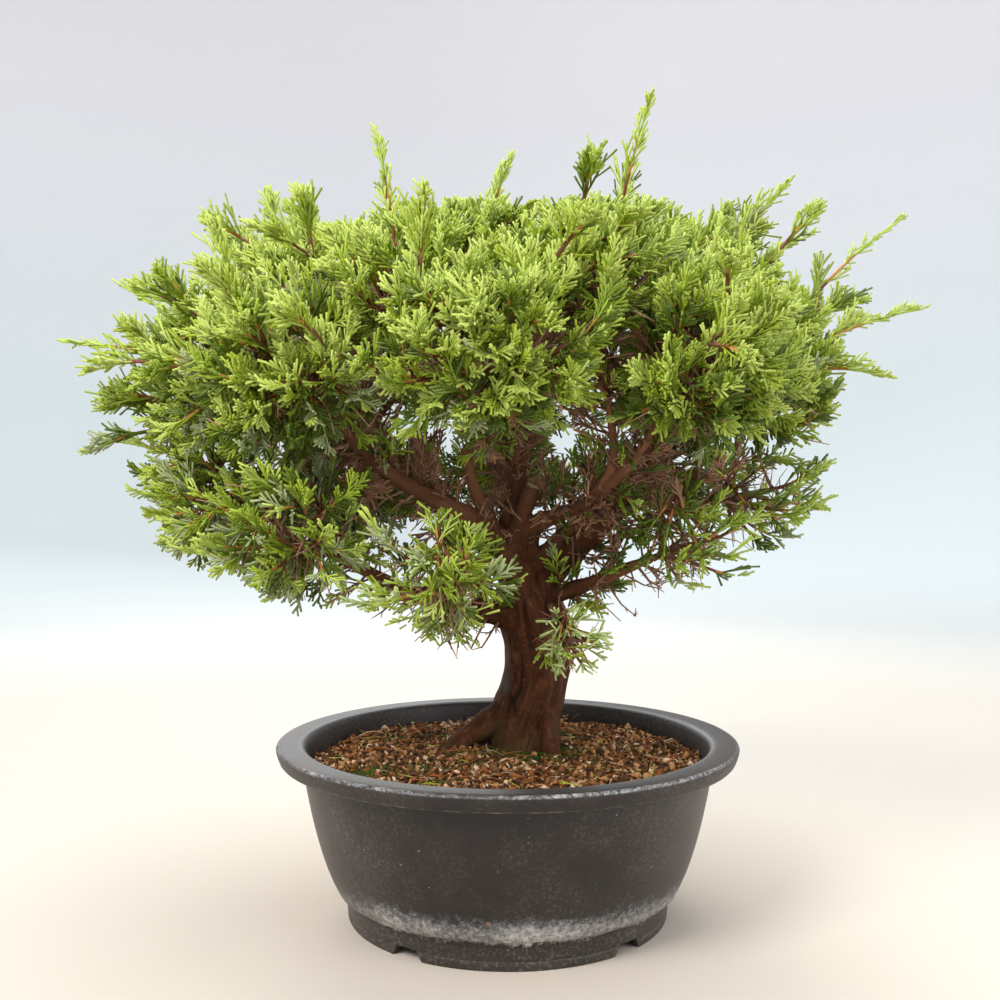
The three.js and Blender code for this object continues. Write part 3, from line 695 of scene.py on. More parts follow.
def make_floor(settings):
    """A round floor whose edge curves up into a wall"""
    flat = settings.radius * PAPER_FLAT
    turn = settings.radius - flat
    sides = 96
    profile = [(flat * 0.5, 0.0)]
    profile += [
        (flat + turn * math.sin(angle), turn * (1 - math.cos(angle)))
        for angle in np.linspace(0, math.pi / 2, 14)
    ]
    profile.append((settings.radius, settings.radius))
    points = [*turned(profile, sides), (0.0, 0.0, 0.0)]
    middle = fan_faces(*ring_points(sides), len(points) - 1)
    faces = np.vstack((middle, ring_faces(len(profile), sides)[:, ::-1]))
    floor = new_piece("stage_floor", np.array(points) / MM, faces, [paper_finish(settings)])


def make_lights():
    """Square soft lights that look at the middle of the plant, and a pale sky"""
    for name, (place, size, energy, colour) in LIGHTS.items():
        data = bpy.data.lights.new(name, "AREA")
        data.shape = "SQUARE"
        data.size = size
        data.energy = energy
        data.color = colour
        light = placed(name, data)
        light.location = place
        light.rotation_euler = (LIGHT_AIM - Vector(place)).to_track_quat("-Z", "Y").to_euler()
    world = bpy.data.worlds.new("studio")
    world.use_nodes = True
    background = world.node_tree.nodes["Background"]
    background.inputs["Color"].default_value = (*SKY, 1)
    background.inputs["Strength"].default_value = 1.0
    bpy.context.scene.world = world
    bpy.context.scene.view_settings.view_transform = "Standard"


def make_camera(settings):
    """The camera at the photograph's place and angle"""
    data = bpy.data.cameras.new("photo_camera")
    data.lens = settings.lens
    data.sensor_width = SENSOR_WIDTH
    data.clip_start = CAMERA_NEAR
    camera = placed("photo_camera", data)
    camera.location = settings.camera
    camera.rotation_euler = (math.radians(90 - CAMERA_DIP), 0, 0)
    bpy.context.scene.camera = camera


# The pot


# The pot's outline in millimetres. The pad under its floor: radius and height
PAD = ((15, 0), (15.6, 0.5), (16, 7))
# The foot ring: out from the foot's radius, and height
FOOT_RING = (
    (-6.4, 7), (-6, 6.6), (-5.2, 0.3), (-4.6, 0), (-2.8, 0), (-2.1, 0.25), (-1.8, 0.9), (-1.5, 4.6),
    (-1.75, 5.0), (-1.4, 5.4), (-0.9, 12.4), (-0.4, 14.2), (0.7, 15.4), (2.4, 16.2),
)
# The rolled rim, from under its band to the wall inside: out from the rim's radius, and up from its top
RIM = (
    (-12.5, -9.4), (-4.2, -9.4), (-2.8, -9.0), (-1.9, -8), (-0.9, -5.5), (-0.2, -3.1), (0, -2), (-0.35, -1.1),
    (-1.4, -0.4), (-3.5, -0.05), (-9, 0), (-13, -0.25), (-15, -0.9), (-16, -2), (-16.7, -4),
)
# The edge of the floor inside: out from the foot's radius, and height
FLOOR_EDGE = ((-2.5, 12.4), (-4.2, 10.6), (-5.4, 10))
FLOOR_LEVEL = 10
# The blocks that cut the foot's notches and the floor's drain slots: how near the middle they start, how far
# out they end, half their width at the bottom and at the top, and the levels of both
NOTCH = (80, 100, (10, 6.5), (-1, 6))
NOTCH_AZIMUTHS = (55, 133, 235, 313)
DRAIN = (30, 66, (4, 4), (2, 14))
DRAINS = 6
CUTTER_SIDES = ((0, 3, 2, 1), (4, 5, 6, 7), (0, 1, 5, 4), (1, 2, 6, 5), (2, 3, 7, 6), (3, 0, 4, 7))
# Colours on the plastic besides its settings
POT_TINTS = {
    "chalk": (0.36, 0.375, 0.39), "rust": (0.5, 0.27, 0.14), "white_dot": (0.3, 0.29, 0.275),
    "brown_dot": (0.5, 0.27, 0.15), "rim_wear_and_highlight": (0.46, 0.46, 0.46), "rim_band_line": (0.3, 0.27, 0.24),
}


def bowl_wall(settings, inset, shares):
    """Radius and height along the bowl's curved wall, in millimetres"""
    foot = settings.foot_radius / MM
    low = np.array((foot + 4 - inset, 17.0))
    belly = np.array((foot + 16 - inset, 38.0))
    high = np.array((settings.bowl_radius / MM - inset, settings.height / MM - 9))
    share = np.asarray(shares, float)[:, None]
    return arc_point((low, belly, high), share)


def pot_profile(settings):
    """The pot's outline from the middle of its underside, round the rim and back inside"""
    foot, rim, top = settings.foot_radius / MM, settings.rim_radius / MM, settings.height / MM
    outline = [*PAD, *((foot + out, height) for out, height in FOOT_RING)]
    outline += [tuple(point) for point in bowl_wall(settings, 0, np.linspace(0, 1, 15))]
    outline += [(rim + out, top + up) for out, up in RIM]
    outline += [tuple(point) for point in bowl_wall(settings, settings.wall / MM, np.linspace(1, 0, 11))]
    outline += [(foot + out, height) for out, height in FLOOR_EDGE]
    return outline


def lathe(profile, sides, closed_top):
    """Points and faces of a profile turned about the Z axis, from the axis back to the axis"""
    points = [*turned(profile, sides), (0.0, 0.0, profile[0][1]), (0.0, 0.0, closed_top)]
    last = (len(profile) - 1) * sides
    faces = []
    for a in range(sides):
        b = (a + 1) % sides
        faces += [(len(points) - 2, b, a), (len(points) - 1, last + a, last + b)]
        faces += [(low + a, low + b, low + sides + b, low + sides + a) for low in range(0, last, sides)]
    return points, faces


def pot_cutters():
    """The blocks that cut the foot's notches and the floor's drain slots"""
    blocks = [(NOTCH, math.radians(azimuth)) for azimuth in NOTCH_AZIMUTHS]
    blocks += [(DRAIN, (i + 0.5) * math.pi / (DRAINS / 2)) for i in range(DRAINS)]
    points, faces = [], []
    for (near, far, widths, levels), turn in blocks:
        faces += [tuple(len(points) + corner for corner in side) for side in CUTTER_SIDES]
        cos, sin = math.cos(turn), math.sin(turn)
        for half, z in zip(widths, levels):
            corners = ((near, -half), (far, -half), (far, half), (near, half))
            points += [(x * cos - y * sin, x * sin + y * cos, z) for x, y in corners]
    return mixed_piece("pot_cutters", points, faces)


def pot_dust_and_sheen(finish, place, across, height):
    """How dusty the plastic is: in blotches, more on the foot, and most in fine specks, with a painted sheen
    in the same colour at its left and right sides
    """
    blotches = finish.span(finish.noise(place, 24, 5, 0.65), 0.38, 0.7)
    # Painted sheen: the plastic paler at its left and right sides, in the colour of its dust
    aside = finish.span(finish.unsigned(across), 0.035, 0.12)
    dust_and_sheen = finish.plus(finish.times(blotches, 0.24), finish.times(aside, 0.42))
    dust_and_sheen = finish.plus(dust_and_sheen, finish.times(finish.span(height, 0.015, 0.011), 0.3))
    specks = finish.span(finish.noise(place, 620, 3, 0.75), 0.5, 0.64)
    return finish.plus(finish.times(dust_and_sheen, 0.2), finish.times(dust_and_sheen, specks))


def pot_lime(finish, place, across, height):
    """The ragged band of hard-water marks over the foot: the marks, the band, and the level across it"""
    ragged = finish.minus(finish.noise(place, 75, 5, 0.8), 0.5, clamp=False)
    level = finish.plus(height, finish.times(ragged, 0.016, clamp=False), clamp=False)
    patch = finish.span(finish.noise(place, 15, 3, 0.55), 0.36, 0.62)
    patch = finish.plus(finish.times(patch, 0.4), 0.42, clamp=False)
    low, high = finish.span(level, 0.0125, 0.0155), finish.span(level, 0.038, 0.0195)
    band = finish.times(finish.times(low, high), patch, clamp=False)
    front_left = finish.span(finish.unsigned(finish.plus(across, 0.03, clamp=False)), 0.085, 0.02)
    band = finish.times(band, finish.plus(finish.times(front_left, 0.5), 0.8, clamp=False), clamp=False)
    speckle = finish.noise(place, 340, 5, 0.85)
    edge = finish.plus(band, finish.times(speckle, 1.5), clamp=False)
    marks = finish.times(finish.span(edge, 0.95, 1.75), finish.span(band, 0.02, 0.15))
    dots = finish.span(finish.noise(place, 330, 5, 0.85), 0.4, 0.6)
    return finish.times(marks, finish.plus(finish.times(dots, 0.65), 0.42)), band, level


def rim_wear_and_highlight(finish, place, radius, height):
    """Where the plastic is pale grey: in streaks on the rim's outer edge, which are wear and a painted
    highlight, and in a line under its band
    """
    # Wear and a painted highlight in broken streaks along the rim's outer upper corner
    top = finish.span(height, POT_HIGH.z - 0.0021, POT_HIGH.z - 0.0012)
    out = finish.span(radius, POT_HIGH.x - 0.0026, POT_HIGH.x - 0.0012)
    streak = finish.span(finish.noise(place, 420, 5, 0.85), 0.4, 0.66)
    fade = finish.span(finish.noise(place, 20, 3, 0.6), 0.32, 0.6)
    worn = finish.times(finish.times(top, out), streak)
    worn = finish.times(worn, finish.plus(finish.times(fade, 0.65), 0.2))
    edge = finish.times(finish.span(height, POT_HIGH.z - 0.0095, POT_HIGH.z - 0.009),
                        finish.span(height, POT_HIGH.z - 0.0081, POT_HIGH.z - 0.0087))
    edge = finish.times(edge, finish.span(radius, 0.123, 0.126))
    return worn, finish.times(edge, finish.span(finish.noise(place, 170, 4, 0.7), 0.44, 0.66))


def pot_finish(settings):
    """Dull black plastic, with fine grain, dusty blotches and specks, a painted sheen at its left and right
    sides, a rim with wear and a painted highlight on its outer edge, and hard-water marks above the foot
    """
    finish = Finish("worn_black_plastic", settings.plastic, 0.6, 0.4)
    place = finish.place()
    across, height, radius = finish.part(place, "X"), finish.part(place, "Z"), finish.radius(place)
    dust_and_sheen = pot_dust_and_sheen(finish, place, across, height)
    lime, band, level = pot_lime(finish, place, across, height)
    worn, edge = rim_wear_and_highlight(finish, place, radius, height)
    # Dust, and the painted sheen at the sides, over the bare plastic
    body = finish.blend(dust_and_sheen, tuple(settings.plastic), tuple(settings.dust_and_sheen))
    chalk = finish.blend(finish.span(level, 0.02, 0.03), tuple(settings.lime), POT_TINTS["chalk"])
    body = finish.blend(lime, body, chalk)
    rust = finish.times(finish.dots(place, 105, 0.16, 0.86), finish.span(band, 0.1, 0.4))
    body = finish.blend(finish.times(rust, 0.6), body, POT_TINTS["rust"])
    body = finish.blend(finish.times(finish.dots(place, 210, 0.1, 0.87), 0.6), body, POT_TINTS["white_dot"])
    body = finish.blend(finish.dots(place, 34, 0.035, 0.8), body, POT_TINTS["brown_dot"])
    # Wear and a painted highlight along the rim's outer edge
    body = finish.blend(worn, body, POT_TINTS["rim_wear_and_highlight"])
    # A pale line along the lower edge of the rim's band
    finish.colour(finish.blend(finish.times(edge, 0.5), body, POT_TINTS["rim_band_line"]))
    inside = finish.span(radius, 0.1185, 0.1165)
    dull = finish.plus(finish.times(dust_and_sheen, 0.3), 0.48)
    finish.roughness(finish.minus(dull, finish.times(inside, 0.08)))
    grain = finish.noise(place, 1500, 2, 0.5)
    finish.bump(finish.plus(finish.times(grain, 0.6), finish.times(lime, 0.5)), 0.00028, 0.7)
    return finish.material


def make_pot(settings):
    """The training pot, turned from its outline, with its notches and drain slots cut"""
    pot = mixed_piece("training_pot", *lathe(pot_profile(settings), settings.sides, FLOOR_LEVEL))
    cutters = pot_cutters()
    cut = pot.modifiers.new("cut", "BOOLEAN")
    cut.operation = "DIFFERENCE"
    cut.solver = "EXACT"
    cut.object = cutters
    mesh = applied(pot)
    bpy.data.objects.remove(cutters)
    mesh.shade_smooth()
    mesh.set_sharp_from_angle(angle=math.radians(38))
    mesh.materials.clear()
    mesh.materials.append(pot_finish(settings))
    finish_piece(pot, "pot_plastic", "pot")


# The soil


# The soil's mound: its middle, how far from there its slope starts, how long the slope is, and the levels
# above and below the slope
MOUND_MIDDLE = (6, 8)
MOUND_RADIUS = 46
MOUND_SLOPE = 70
MOUND_LEVEL = 90
EDGE_LEVEL = 84
# How far from the middle grains, moss and litter lie at most
GRAIN_EDGE = 110.5
MOSS_EDGE = 109
LITTER_EDGE = 107
# The angles of a moss blade's three corners
BLADE_CORNERS = (0, 2.094, 4.189)
# The soil's outline in millimetres: its edge, then radius and height down to its flat underside
SOIL_EDGE = 111.9
SOIL_UNDER = ((109.5, 72), (101.5, 40), (91.6, 17.5), (86, 10.4))
# The soil's colours from its hollows up, besides its own, and the colour of its damp patches
SOIL_HOLLOW = (0.02, 0.011, 0.007)
SOIL_CRUMB = (0.17, 0.085, 0.045)
SOIL_CREST = (0.34, 0.22, 0.13)
SOIL_DAMP = (0.07, 0.03, 0.015)
# The finishes of what lies on the soil: two close colours of each, and its share of the pieces
GRIT = {
    "grit_tan": ((0.5, 0.28, 0.12), (0.29, 0.13, 0.048), 0.27),
    "grit_rust": ((0.31, 0.112, 0.034), (0.15, 0.054, 0.017), 0.23),
    "grit_dark": ((0.08, 0.036, 0.011), (0.035, 0.017, 0.007), 0.19),
    "grit_pale": ((0.74, 0.54, 0.36), (0.5, 0.32, 0.18), 0.1),
    "grit_brown": ((0.21, 0.1, 0.036), (0.105, 0.048, 0.018), 0.21),
}
MOSS = {
    "moss_dark": ((0.045, 0.075, 0.014), (0.025, 0.045, 0.009), 0.5),
    "moss_green": ((0.11, 0.165, 0.022), (0.06, 0.1, 0.014), 0.36),
    "moss_dry": ((0.19, 0.17, 0.05), (0.1, 0.09, 0.03), 0.14),
}
LITTER = {
    "litter_rust": ((0.4, 0.13, 0.035), (0.24, 0.07, 0.02), 0.44),
    "litter_brown": ((0.15, 0.07, 0.038), (0.08, 0.035, 0.02), 0.33),
    "litter_straw": ((0.56, 0.4, 0.24), (0.4, 0.27, 0.14), 0.14),
    "litter_green": ((0.46, 0.48, 0.07), (0.34, 0.38, 0.05), 0.09),
}
# Where moss grows: the middle's x and y, the reach along x and y, and how thick it is at most
MOSS_SPOTS = (
    (8, -20, 24, 15, 1.0), (34, -14, 14, 12, 0.8), (-22, -14, 16, 10, 0.7), (-74, -38, 22, 12, 0.9),
    (-44, -40, 16, 9, 0.6), (-40, -64, 10, 7, 0.5), (30, 34, 22, 16, 0.9), (-30, 40, 22, 14, 0.7),
    (70, 20, 16, 12, 0.4), (52, -30, 14, 8, 0.35), (-66, 44, 18, 12, 0.5),
)
# The share of the grains that are flat chips, and how long, wide and thick chips and round grains are
CHIP_SHARE = 0.55
CHIP = (1.5, 0.85, 0.4)
ROUND_GRAIN = (1.05, 1.0, 0.9)
# The share of the litter that is long, and the share that forks
LONG_LITTER = 0.16
FORKED_LITTER = 0.3
# The corners and faces of the eight-sided block that a grain is worn from, and the faces of a blade of moss
GRAIN_POINTS = np.array(((1, 0, 0), (-1, 0, 0), (0, 1, 0), (0, -1, 0), (0, 0, 1), (0, 0, -1)), float)
GRAIN_FACES = np.array((
    (0, 2, 4), (2, 1, 4), (1, 3, 4), (3, 0, 4), (2, 0, 5), (1, 2, 5), (3, 1, 5), (0, 3, 5),
))
BLADE_FACES = np.array(((0, 1, 3), (1, 2, 3), (2, 0, 3), (0, 2, 1)))


def soil_level(x, y):
    """Level of the soil at a place, as in the part's source"""
    out = np.hypot(x - MOUND_MIDDLE[0], y - MOUND_MIDDLE[1]) - MOUND_RADIUS
    slope = np.clip(out / MOUND_SLOPE, 0, 1)
    ruffle = np.sin(x * 0.11 + 1) * np.cos(y * 0.13) + 0.6 * np.sin(x * 0.27 - y * 0.21)
    return mix(MOUND_LEVEL, EDGE_LEVEL, slope) + np.clip(out / 20, 0, 1) * ruffle


def rough(points, size, salt=0.0):
    """Smooth noise between -1 and 1 at points in millimetres, with lumps of a size"""
    return np.array([noise.noise(Vector((x / size + salt, y / size, z / size))) for x, y, z in points])


def soil_top(x, y):
    """The finished soil's level, with its small lumps"""
    flat = np.stack((x, y, np.zeros_like(x)), axis=-1)
    lumps = 0.8 * rough(flat, 9.0, 3.1) + 0.5 * rough(flat, 3.2, 7.7)
    near = np.hypot(x - MOUND_MIDDLE[0], y - MOUND_MIDDLE[1])
    mound = 1.6 * smoothstep(60, 24, near)
    return soil_level(x, y) + lumps + mound - 0.4


def grit_finishes(table):
    """Rough finishes for a table of things on the soil"""
    return [patchy_finish(name, first, second, 0.9, 0.12, 700, 1400, 0.7)
            for name, (first, second, _) in table.items()]


def soil_finish(settings):
    """Damp crumbly earth, paler on its crumbs"""
    finish = Finish("damp_soil", settings.earth, 0.95, 0.05)
    place = finish.place()
    crumbs = finish.noise(place, 420, 5, 0.7)
    patches = finish.noise(place, 45, 3, 0.6)
    brown = finish.ramp(
        crumbs, (0.3, SOIL_HOLLOW), (0.5, tuple(settings.earth)), (0.62, SOIL_CRUMB), (0.75, SOIL_CREST)
    )
    finish.colour(finish.blend(finish.span(patches, 0.45, 0.7), brown, SOIL_DAMP))
    finish.bump(crumbs, 0.0012, 0.9)
    return finish.material


def soil_body(settings):
    """The soil as one closed body, with a lumpy top"""
    sides, rings = 220, 72
    radius = np.repeat(SOIL_EDGE * np.linspace(0, 1, rings + 1)[1:] ** 0.9, sides)
    angle = np.tile(circle(sides), rings)
    x, y = radius * np.cos(angle), radius * np.sin(angle)
    top = np.stack((x, y, soil_top(x, y)), axis=-1)
    centre = np.zeros(1)
    axis = [(0, 0, soil_top(centre, centre)[0]), (0, 0, SOIL_UNDER[-1][1])]
    points = np.vstack((top, turned(SOIL_UNDER, sides), axis))
    count = rings + len(SOIL_UNDER)
    a, b = ring_points(sides)
    last = (count - 1) * sides
    faces = np.vstack((
        fan_faces(a, b, len(points) - 2), ring_faces(count, sides)[:, ::-1],
        fan_faces(last + b, last + a, len(points) - 1),
    ))
    return new_piece("soil_bed", points, faces, [soil_finish(settings)])


def turned_frames(chance, count, flatness):
    """A random square frame for each of many things, whose third axis leans to the vertical"""
    third = unit(chance.normal(size=(count, 3)) + UP * flatness)
    first = unit(np.cross(third, chance.normal(size=(count, 3))))
    return np.stack((first, np.cross(third, first), third), axis=1)


def clear_of_trunk(x, y, margin):
    """Whether places on the soil are outside the trunk's foot and its biggest root"""
    _, middle_x, middle_y, radius = TRUNK_SECTIONS[0]
    x_off, y_off = x - middle_x - FOOT_SLIMMER, y - middle_y
    foot = trunk_radius(radius - FOOT_SLIMMER, np.degrees(np.arctan2(y_off, x_off)), 0.0, ROOT_FLARES[1:])
    _, root_radius, start, *_, end = ROOTS[0]
    across = y - np.interp(x, (end[0], start[0]), (end[1], start[1]))
    off_root = np.hypot(across, np.maximum(0, end[0] - x)) > root_radius + margin
    return (np.hypot(x_off, y_off) > foot + margin) & (off_root | (x > start[0]))


def scatter_on_soil(chance, count, margin, edge):
    """Places spread over the soil, outside the trunk's foot"""
    radius = edge * np.sqrt(chance.uniform(size=count * 2))
    angle = chance.uniform(0, 2 * math.pi, count * 2)
    x, y = radius * np.cos(angle), radius * np.sin(angle)
    free = np.flatnonzero(clear_of_trunk(x, y, margin))[:count]
    return x[free], y[free]


def soil_grains(settings):
    """Loose chips and grains of pumice, akadama and bark on the soil"""
    chance = np.random.default_rng(11)
    x, y = scatter_on_soil(chance, settings.grains, 1.0, GRAIN_EDGE)
    bare = chance.uniform(size=len(x)) > 0.9 * moss_share(x, y)
    x, y = x[bare], y[bare]
    count = len(x)
    size = settings.grain_size / MM * chance.lognormal(0, 0.38, count).clip(0.5, 2.6) / 2
    chip = chance.uniform(size=count) < CHIP_SHARE
    slim = np.where(chip[:, None], CHIP, ROUND_GRAIN)
    stretch = (slim * chance.uniform(0.75, 1.3, (count, 3)))[:, None]
    corners = len(GRAIN_POINTS)
    bumps = 0.2 * chance.normal(size=(count, corners, 3)).clip(-1.6, 1.6)
    local = (GRAIN_POINTS[None] + bumps) * stretch
    points = np.einsum("npi,nij->npj", local, turned_frames(chance, count, 1.2)) * size[:, None, None]
    centre = np.stack((x, y, soil_top(x, y) + size * chance.uniform(0.05, 0.8, count)), axis=-1)
    points = (points + centre[:, None]).reshape(-1, 3)
    kinds = np.repeat(dealt(chance, count, GRIT), len(GRAIN_FACES))
    faces = copies(GRAIN_FACES, corners, count)
    return new_piece("soil_grains", points, faces, grit_finishes(GRIT), kinds, smooth=False)


def moss_share(x, y):
    """How thickly moss grows at a place: round the trunk's foot and at the front left"""
    share = np.zeros_like(x)
    for middle_x, middle_y, wide, deep, most in MOSS_SPOTS:
        off = ((x - middle_x) / wide) ** 2 + ((y - middle_y) / deep) ** 2
        share = np.maximum(share, most * np.exp(-off))
    return share


def soil_moss(settings):
    """Short pointed moss blades, three-sided, in cushions"""
    chance = np.random.default_rng(12)
    x, y = scatter_on_soil(chance, settings.moss * 10, -1.0, MOSS_EDGE)
    flat = np.stack((x, y, np.zeros_like(x)), axis=-1)
    patchy = 0.75 + 0.9 * rough(flat, 4.5, 1.7)
    grown = np.flatnonzero(chance.uniform(size=len(x)) < moss_share(x, y) * patchy)[: settings.moss]
    x, y = x[grown], y[grown]
    count = len(x)
    root = np.stack((x, y, soil_top(x, y) - 0.3), axis=-1)
    heading = unit(chance.normal(size=(count, 3)) * 0.55 + UP)
    tall = chance.uniform(1.2, 3.0, count)[:, None]
    wide = chance.uniform(0.35, 0.62, count)[:, None]
    first, second = beside(heading)
    corners = [root + wide * (first * math.cos(a) + second * math.sin(a)) for a in BLADE_CORNERS]
    points = np.stack((*corners, root + heading * tall), axis=1).reshape(-1, 3)
    kinds = np.repeat(dealt(chance, count, MOSS), len(BLADE_FACES))
    return new_piece("soil_moss", points, copies(BLADE_FACES, 4, count), grit_finishes(MOSS), kinds)


def soil_litter(settings):
    """Fallen twiglets, dry sprigs and a few fresh clippings"""
    chance = np.random.default_rng(13)
    x, y = scatter_on_soil(chance, settings.litter, 1.5, LITTER_EDGE)
    count = len(x)
    turn = chance.uniform(0, 2 * math.pi, count)
    long = chance.uniform(size=count) < LONG_LITTER
    tilt = chance.normal(0, 0.14, count) * np.where(long, 0.35, 1.0)
    tilt = tilt + 0.8 * ((chance.uniform(size=count) < 0.05) & ~long)
    heading = np.stack((np.cos(turn) * np.cos(tilt), np.sin(turn) * np.cos(tilt), np.sin(tilt)), axis=-1)
    length = (chance.uniform(3.5, 13, count) * np.where(long, 1.9, 1.0))[:, None]
    root = np.stack((x, y, soil_top(x, y) + 1.5), axis=-1)
    near_edge = np.linalg.norm((root + heading * length)[:, :2], axis=1) > MOSS_EDGE
    heading[near_edge] *= -1
    arc = arcs_of(swayed(root, heading, length, chance.normal(0, 0.12, (count, 3)) * length))
    radii = chance.uniform(0.22, 0.55, count)
    kinds = dealt(chance, count, LITTER)
    shells, shown = [arc_tubes(arc, radii, radii * 0.6, 3)], [np.repeat(kinds, tube_faces(3))]
    forked = np.flatnonzero(chance.uniform(size=count) < FORKED_LITTER)
    parts = tuple(points[forked] for points in arc)
    for k in range(5):
        share = chance.uniform(0.25, 0.95, len(forked))[:, None]
        start, way = arc_point(parts, share), arc_heading(parts, share)
        side = unit(np.cross(way, UP)) * (1 if k % 2 else -1)
        way = unit(way * 0.8 + side * 0.6 + chance.normal(0, 0.12, way.shape))
        reach = chance.uniform(1.8, 4.5, len(forked))[:, None]
        twig = arcs_of(swayed(start, way, reach, UP * 0.15 * reach))
        shells.append(arc_tubes(twig, radii[forked] * 0.8, radii[forked] * 0.5, 1))
        shown.append(np.repeat(kinds[forked], tube_faces(1)))
    points, faces = joined(shells)
    return new_piece("soil_litter", points, faces, grit_finishes(LITTER), np.concatenate(shown))


def make_soil(settings):
    """The soil bed, and the grains, the moss and the litter on it"""
    finish_piece(soil_body(settings), "soil_grit", "soil")
    finish_piece(soil_grains(settings), "soil_grit")
    finish_piece(soil_moss(settings), "leaf")
    finish_piece(soil_litter(settings), "bark")


# The trunk and the limbs


# How much thicker a bough, a limb and a stub is where it leaves its parent, and how soon that fades
BOUGH_COLLAR = 0.45
LIMB_COLLAR = 0.3
STUB_COLLAR = 0.25
COLLAR_FADE = 26
# How uneven a limb's thickness is, and how soon that repeats along it, in turns to a millimetre
LIMB_RIPPLE = 0.07
LIMB_RIPPLE_TURN = 0.35
LIMB_SIDES = 20
# The ribs that wind up the trunk: how many, how high a share of its radius, and where they start in degrees
TRUNK_RIBS = ((5, 0.018, 0), (11, 0.006, 40))
TRUNK_TWIST = 0.35
# The distance along a limb between the samples that its bark's grain follows
GRAIN_STEP = 3.0
# The places along each next limb start this much further on, so that the grain of two limbs differs
GRAIN_APART = 400
# How much the grain is stretched along a limb, in its relief and in its colours
RELIEF_STRETCH = (1, 1, 0.13)
GRAIN_STRETCH = (1, 1, 0.11)
# How far the bark stands out over the smoothed skin, in millimetres
BARK_OUT = 0.12
# Colours in the bark besides its settings
BARK_TINTS = {
    "furrow": (0.04, 0.0145, 0.007), "ridge": (0.105, 0.038, 0.0165), "red": (0.15, 0.045, 0.016),
    "shade": (0.035, 0.015, 0.008), "dark_fibre": (0.026, 0.011, 0.007), "hollow": (0.022, 0.009, 0.006),
    "algae": (0.045, 0.045, 0.014), "scar": (0.15, 0.125, 0.1), "upper": (0.24, 0.11, 0.062),
    "crack": (0.013, 0.0065, 0.005), "young": (0.18, 0.07, 0.036), "young_pale": (0.33, 0.15, 0.075),
    "cut_wood": (0.5, 0.36, 0.22),
}


def trunk_radius(radius, azimuth, rise, flares=ROOT_FLARES):
    """The trunk's radius towards an azimuth in degrees, with its root flares"""
    flare = 0
    for direction, reach, spread in flares:
        turn = (azimuth - direction + 540) % 360 - 180
        flare = flare + reach * np.exp(-((turn / spread) ** 2))
    ripple = TRUNK_RIPPLE * np.sin(3 * np.radians(azimuth))
    return radius * (1 + ripple) + flare * np.exp(-np.maximum(rise, 0) / FLARE_FADE)


class Limb:
    """A tapering limb along a smooth curve"""

    def __init__(self, points, base, tip):
        self.points = np.array(points, float)
        self.base = base
        self.tip_radius = tip
        self.spine = smooth_curve(self.points, np.linspace(0, 1, 17))[0]
        self.end = self.points[-1]
        self.radii = self.radius_at(np.linspace(0, 1, 17))
        self.length = np.linalg.norm(np.diff(self.spine, axis=0), axis=1).sum()

    def radius_at(self, share):
        """The limb's radius at shares of its way"""
        return mix(self.base, self.tip_radius, share**LIMB_TAPER)


class Space:
    """The space of a mass: an ellipsoid, cut by a plane towards each other mass"""

    def __init__(self, name):
        middles = {key: np.array(row[2], float) for key, row in MASSES.items()}
        sizes = {key: float(np.cbrt(np.prod(row[3]))) for key, row in MASSES.items()}
        self.middle = middles[name]
        self.reach = np.array(MASSES[name][3], float)
        away = np.array([middles[key] - self.middle for key in MASSES if key != name])
        apart = np.linalg.norm(away, axis=1)
        others = np.array([sizes[key] for key in MASSES if key != name])
        self.normals = away / apart[:, None]
        share = (apart**2 + sizes[name] ** 2 - others**2) / (2 * apart)
        self.levels = self.normals @ self.middle + share - SPACE_GAP / 2

    def edge_distance(self, start, heading, walled=True):
        """How far it is from points inside to the edge of the space"""
        start = np.broadcast_to(start, heading.shape)
        p, d = (start - self.middle) / self.reach, heading / self.reach
        b, dd, pp = np.sum(p * d, axis=1), np.sum(d * d, axis=1), np.sum(p * p, axis=1)
        shell = (np.sqrt(np.maximum(0, b * b - dd * (pp - 1))) - b) / dd
        if not walled:
            return shell
        rate = heading @ self.normals.T
        room = self.levels - start @ self.normals.T
        walls = np.where(rate > 1e-6, room / np.maximum(rate, 1e-6), np.inf).min(axis=1)
        return np.minimum(walls, shell)

    def walled(self, points, over=0.0):
        """Whether points are on the mass's own side of the planes to its neighbours, or not far over them"""
        return np.all(points @ self.normals.T <= self.levels + over, axis=-1)


def fan_directions(axis, numbers):
    """Directions that fan out evenly round an axis, as in the part's source"""
    lean = np.arccos(1 - ((0.5 + numbers * EVEN["lean"]) % 1) * (1 - math.cos(WIDEST_FAN)))[:, None]
    turn = (2 * math.pi * ((0.5 + numbers * EVEN["turn"]) % 1))[:, None]
    aside = UP if abs(axis[2]) < 0.9 else np.array((1.0, 0.0, 0.0))
    side = unit(np.cross(axis, aside))
    around = side * np.cos(turn) + np.cross(axis, side) * np.sin(turn)
    return axis * np.cos(lean) + around * np.sin(lean)


def trunk_spray_root():
    """Where the spray on the trunk starts"""
    height, x, y, radius = TRUNK_SECTIONS[TRUNK_SPRAY["section"]]
    out = trunk_radius(radius, TRUNK_SPRAY["azimuth"], height - TRUNK_FOOT) + TRUNK_SPRAY["clear"]
    turn = math.radians(TRUNK_SPRAY["azimuth"])
    return np.array((x + out * math.cos(turn), y + out * math.sin(turn), height))


def fork_path(parent, share, entry, numbers):
    """The path of a limb that leaves along its bough and bends towards its mass"""
    start, heading = (value[0] for value in smooth_curve(parent.points, [share]))
    chord = entry - start
    length = np.linalg.norm(chord)
    first = start + heading * FORK["out"] * length + chord * FORK["out"]
    sway = np.array((next(numbers) - 0.5, next(numbers) - 0.5, next(numbers) - 0.8))
    second = start + chord * FORK["over"] + sway * FORK["sway"] * length
    return [start, first, second, entry]


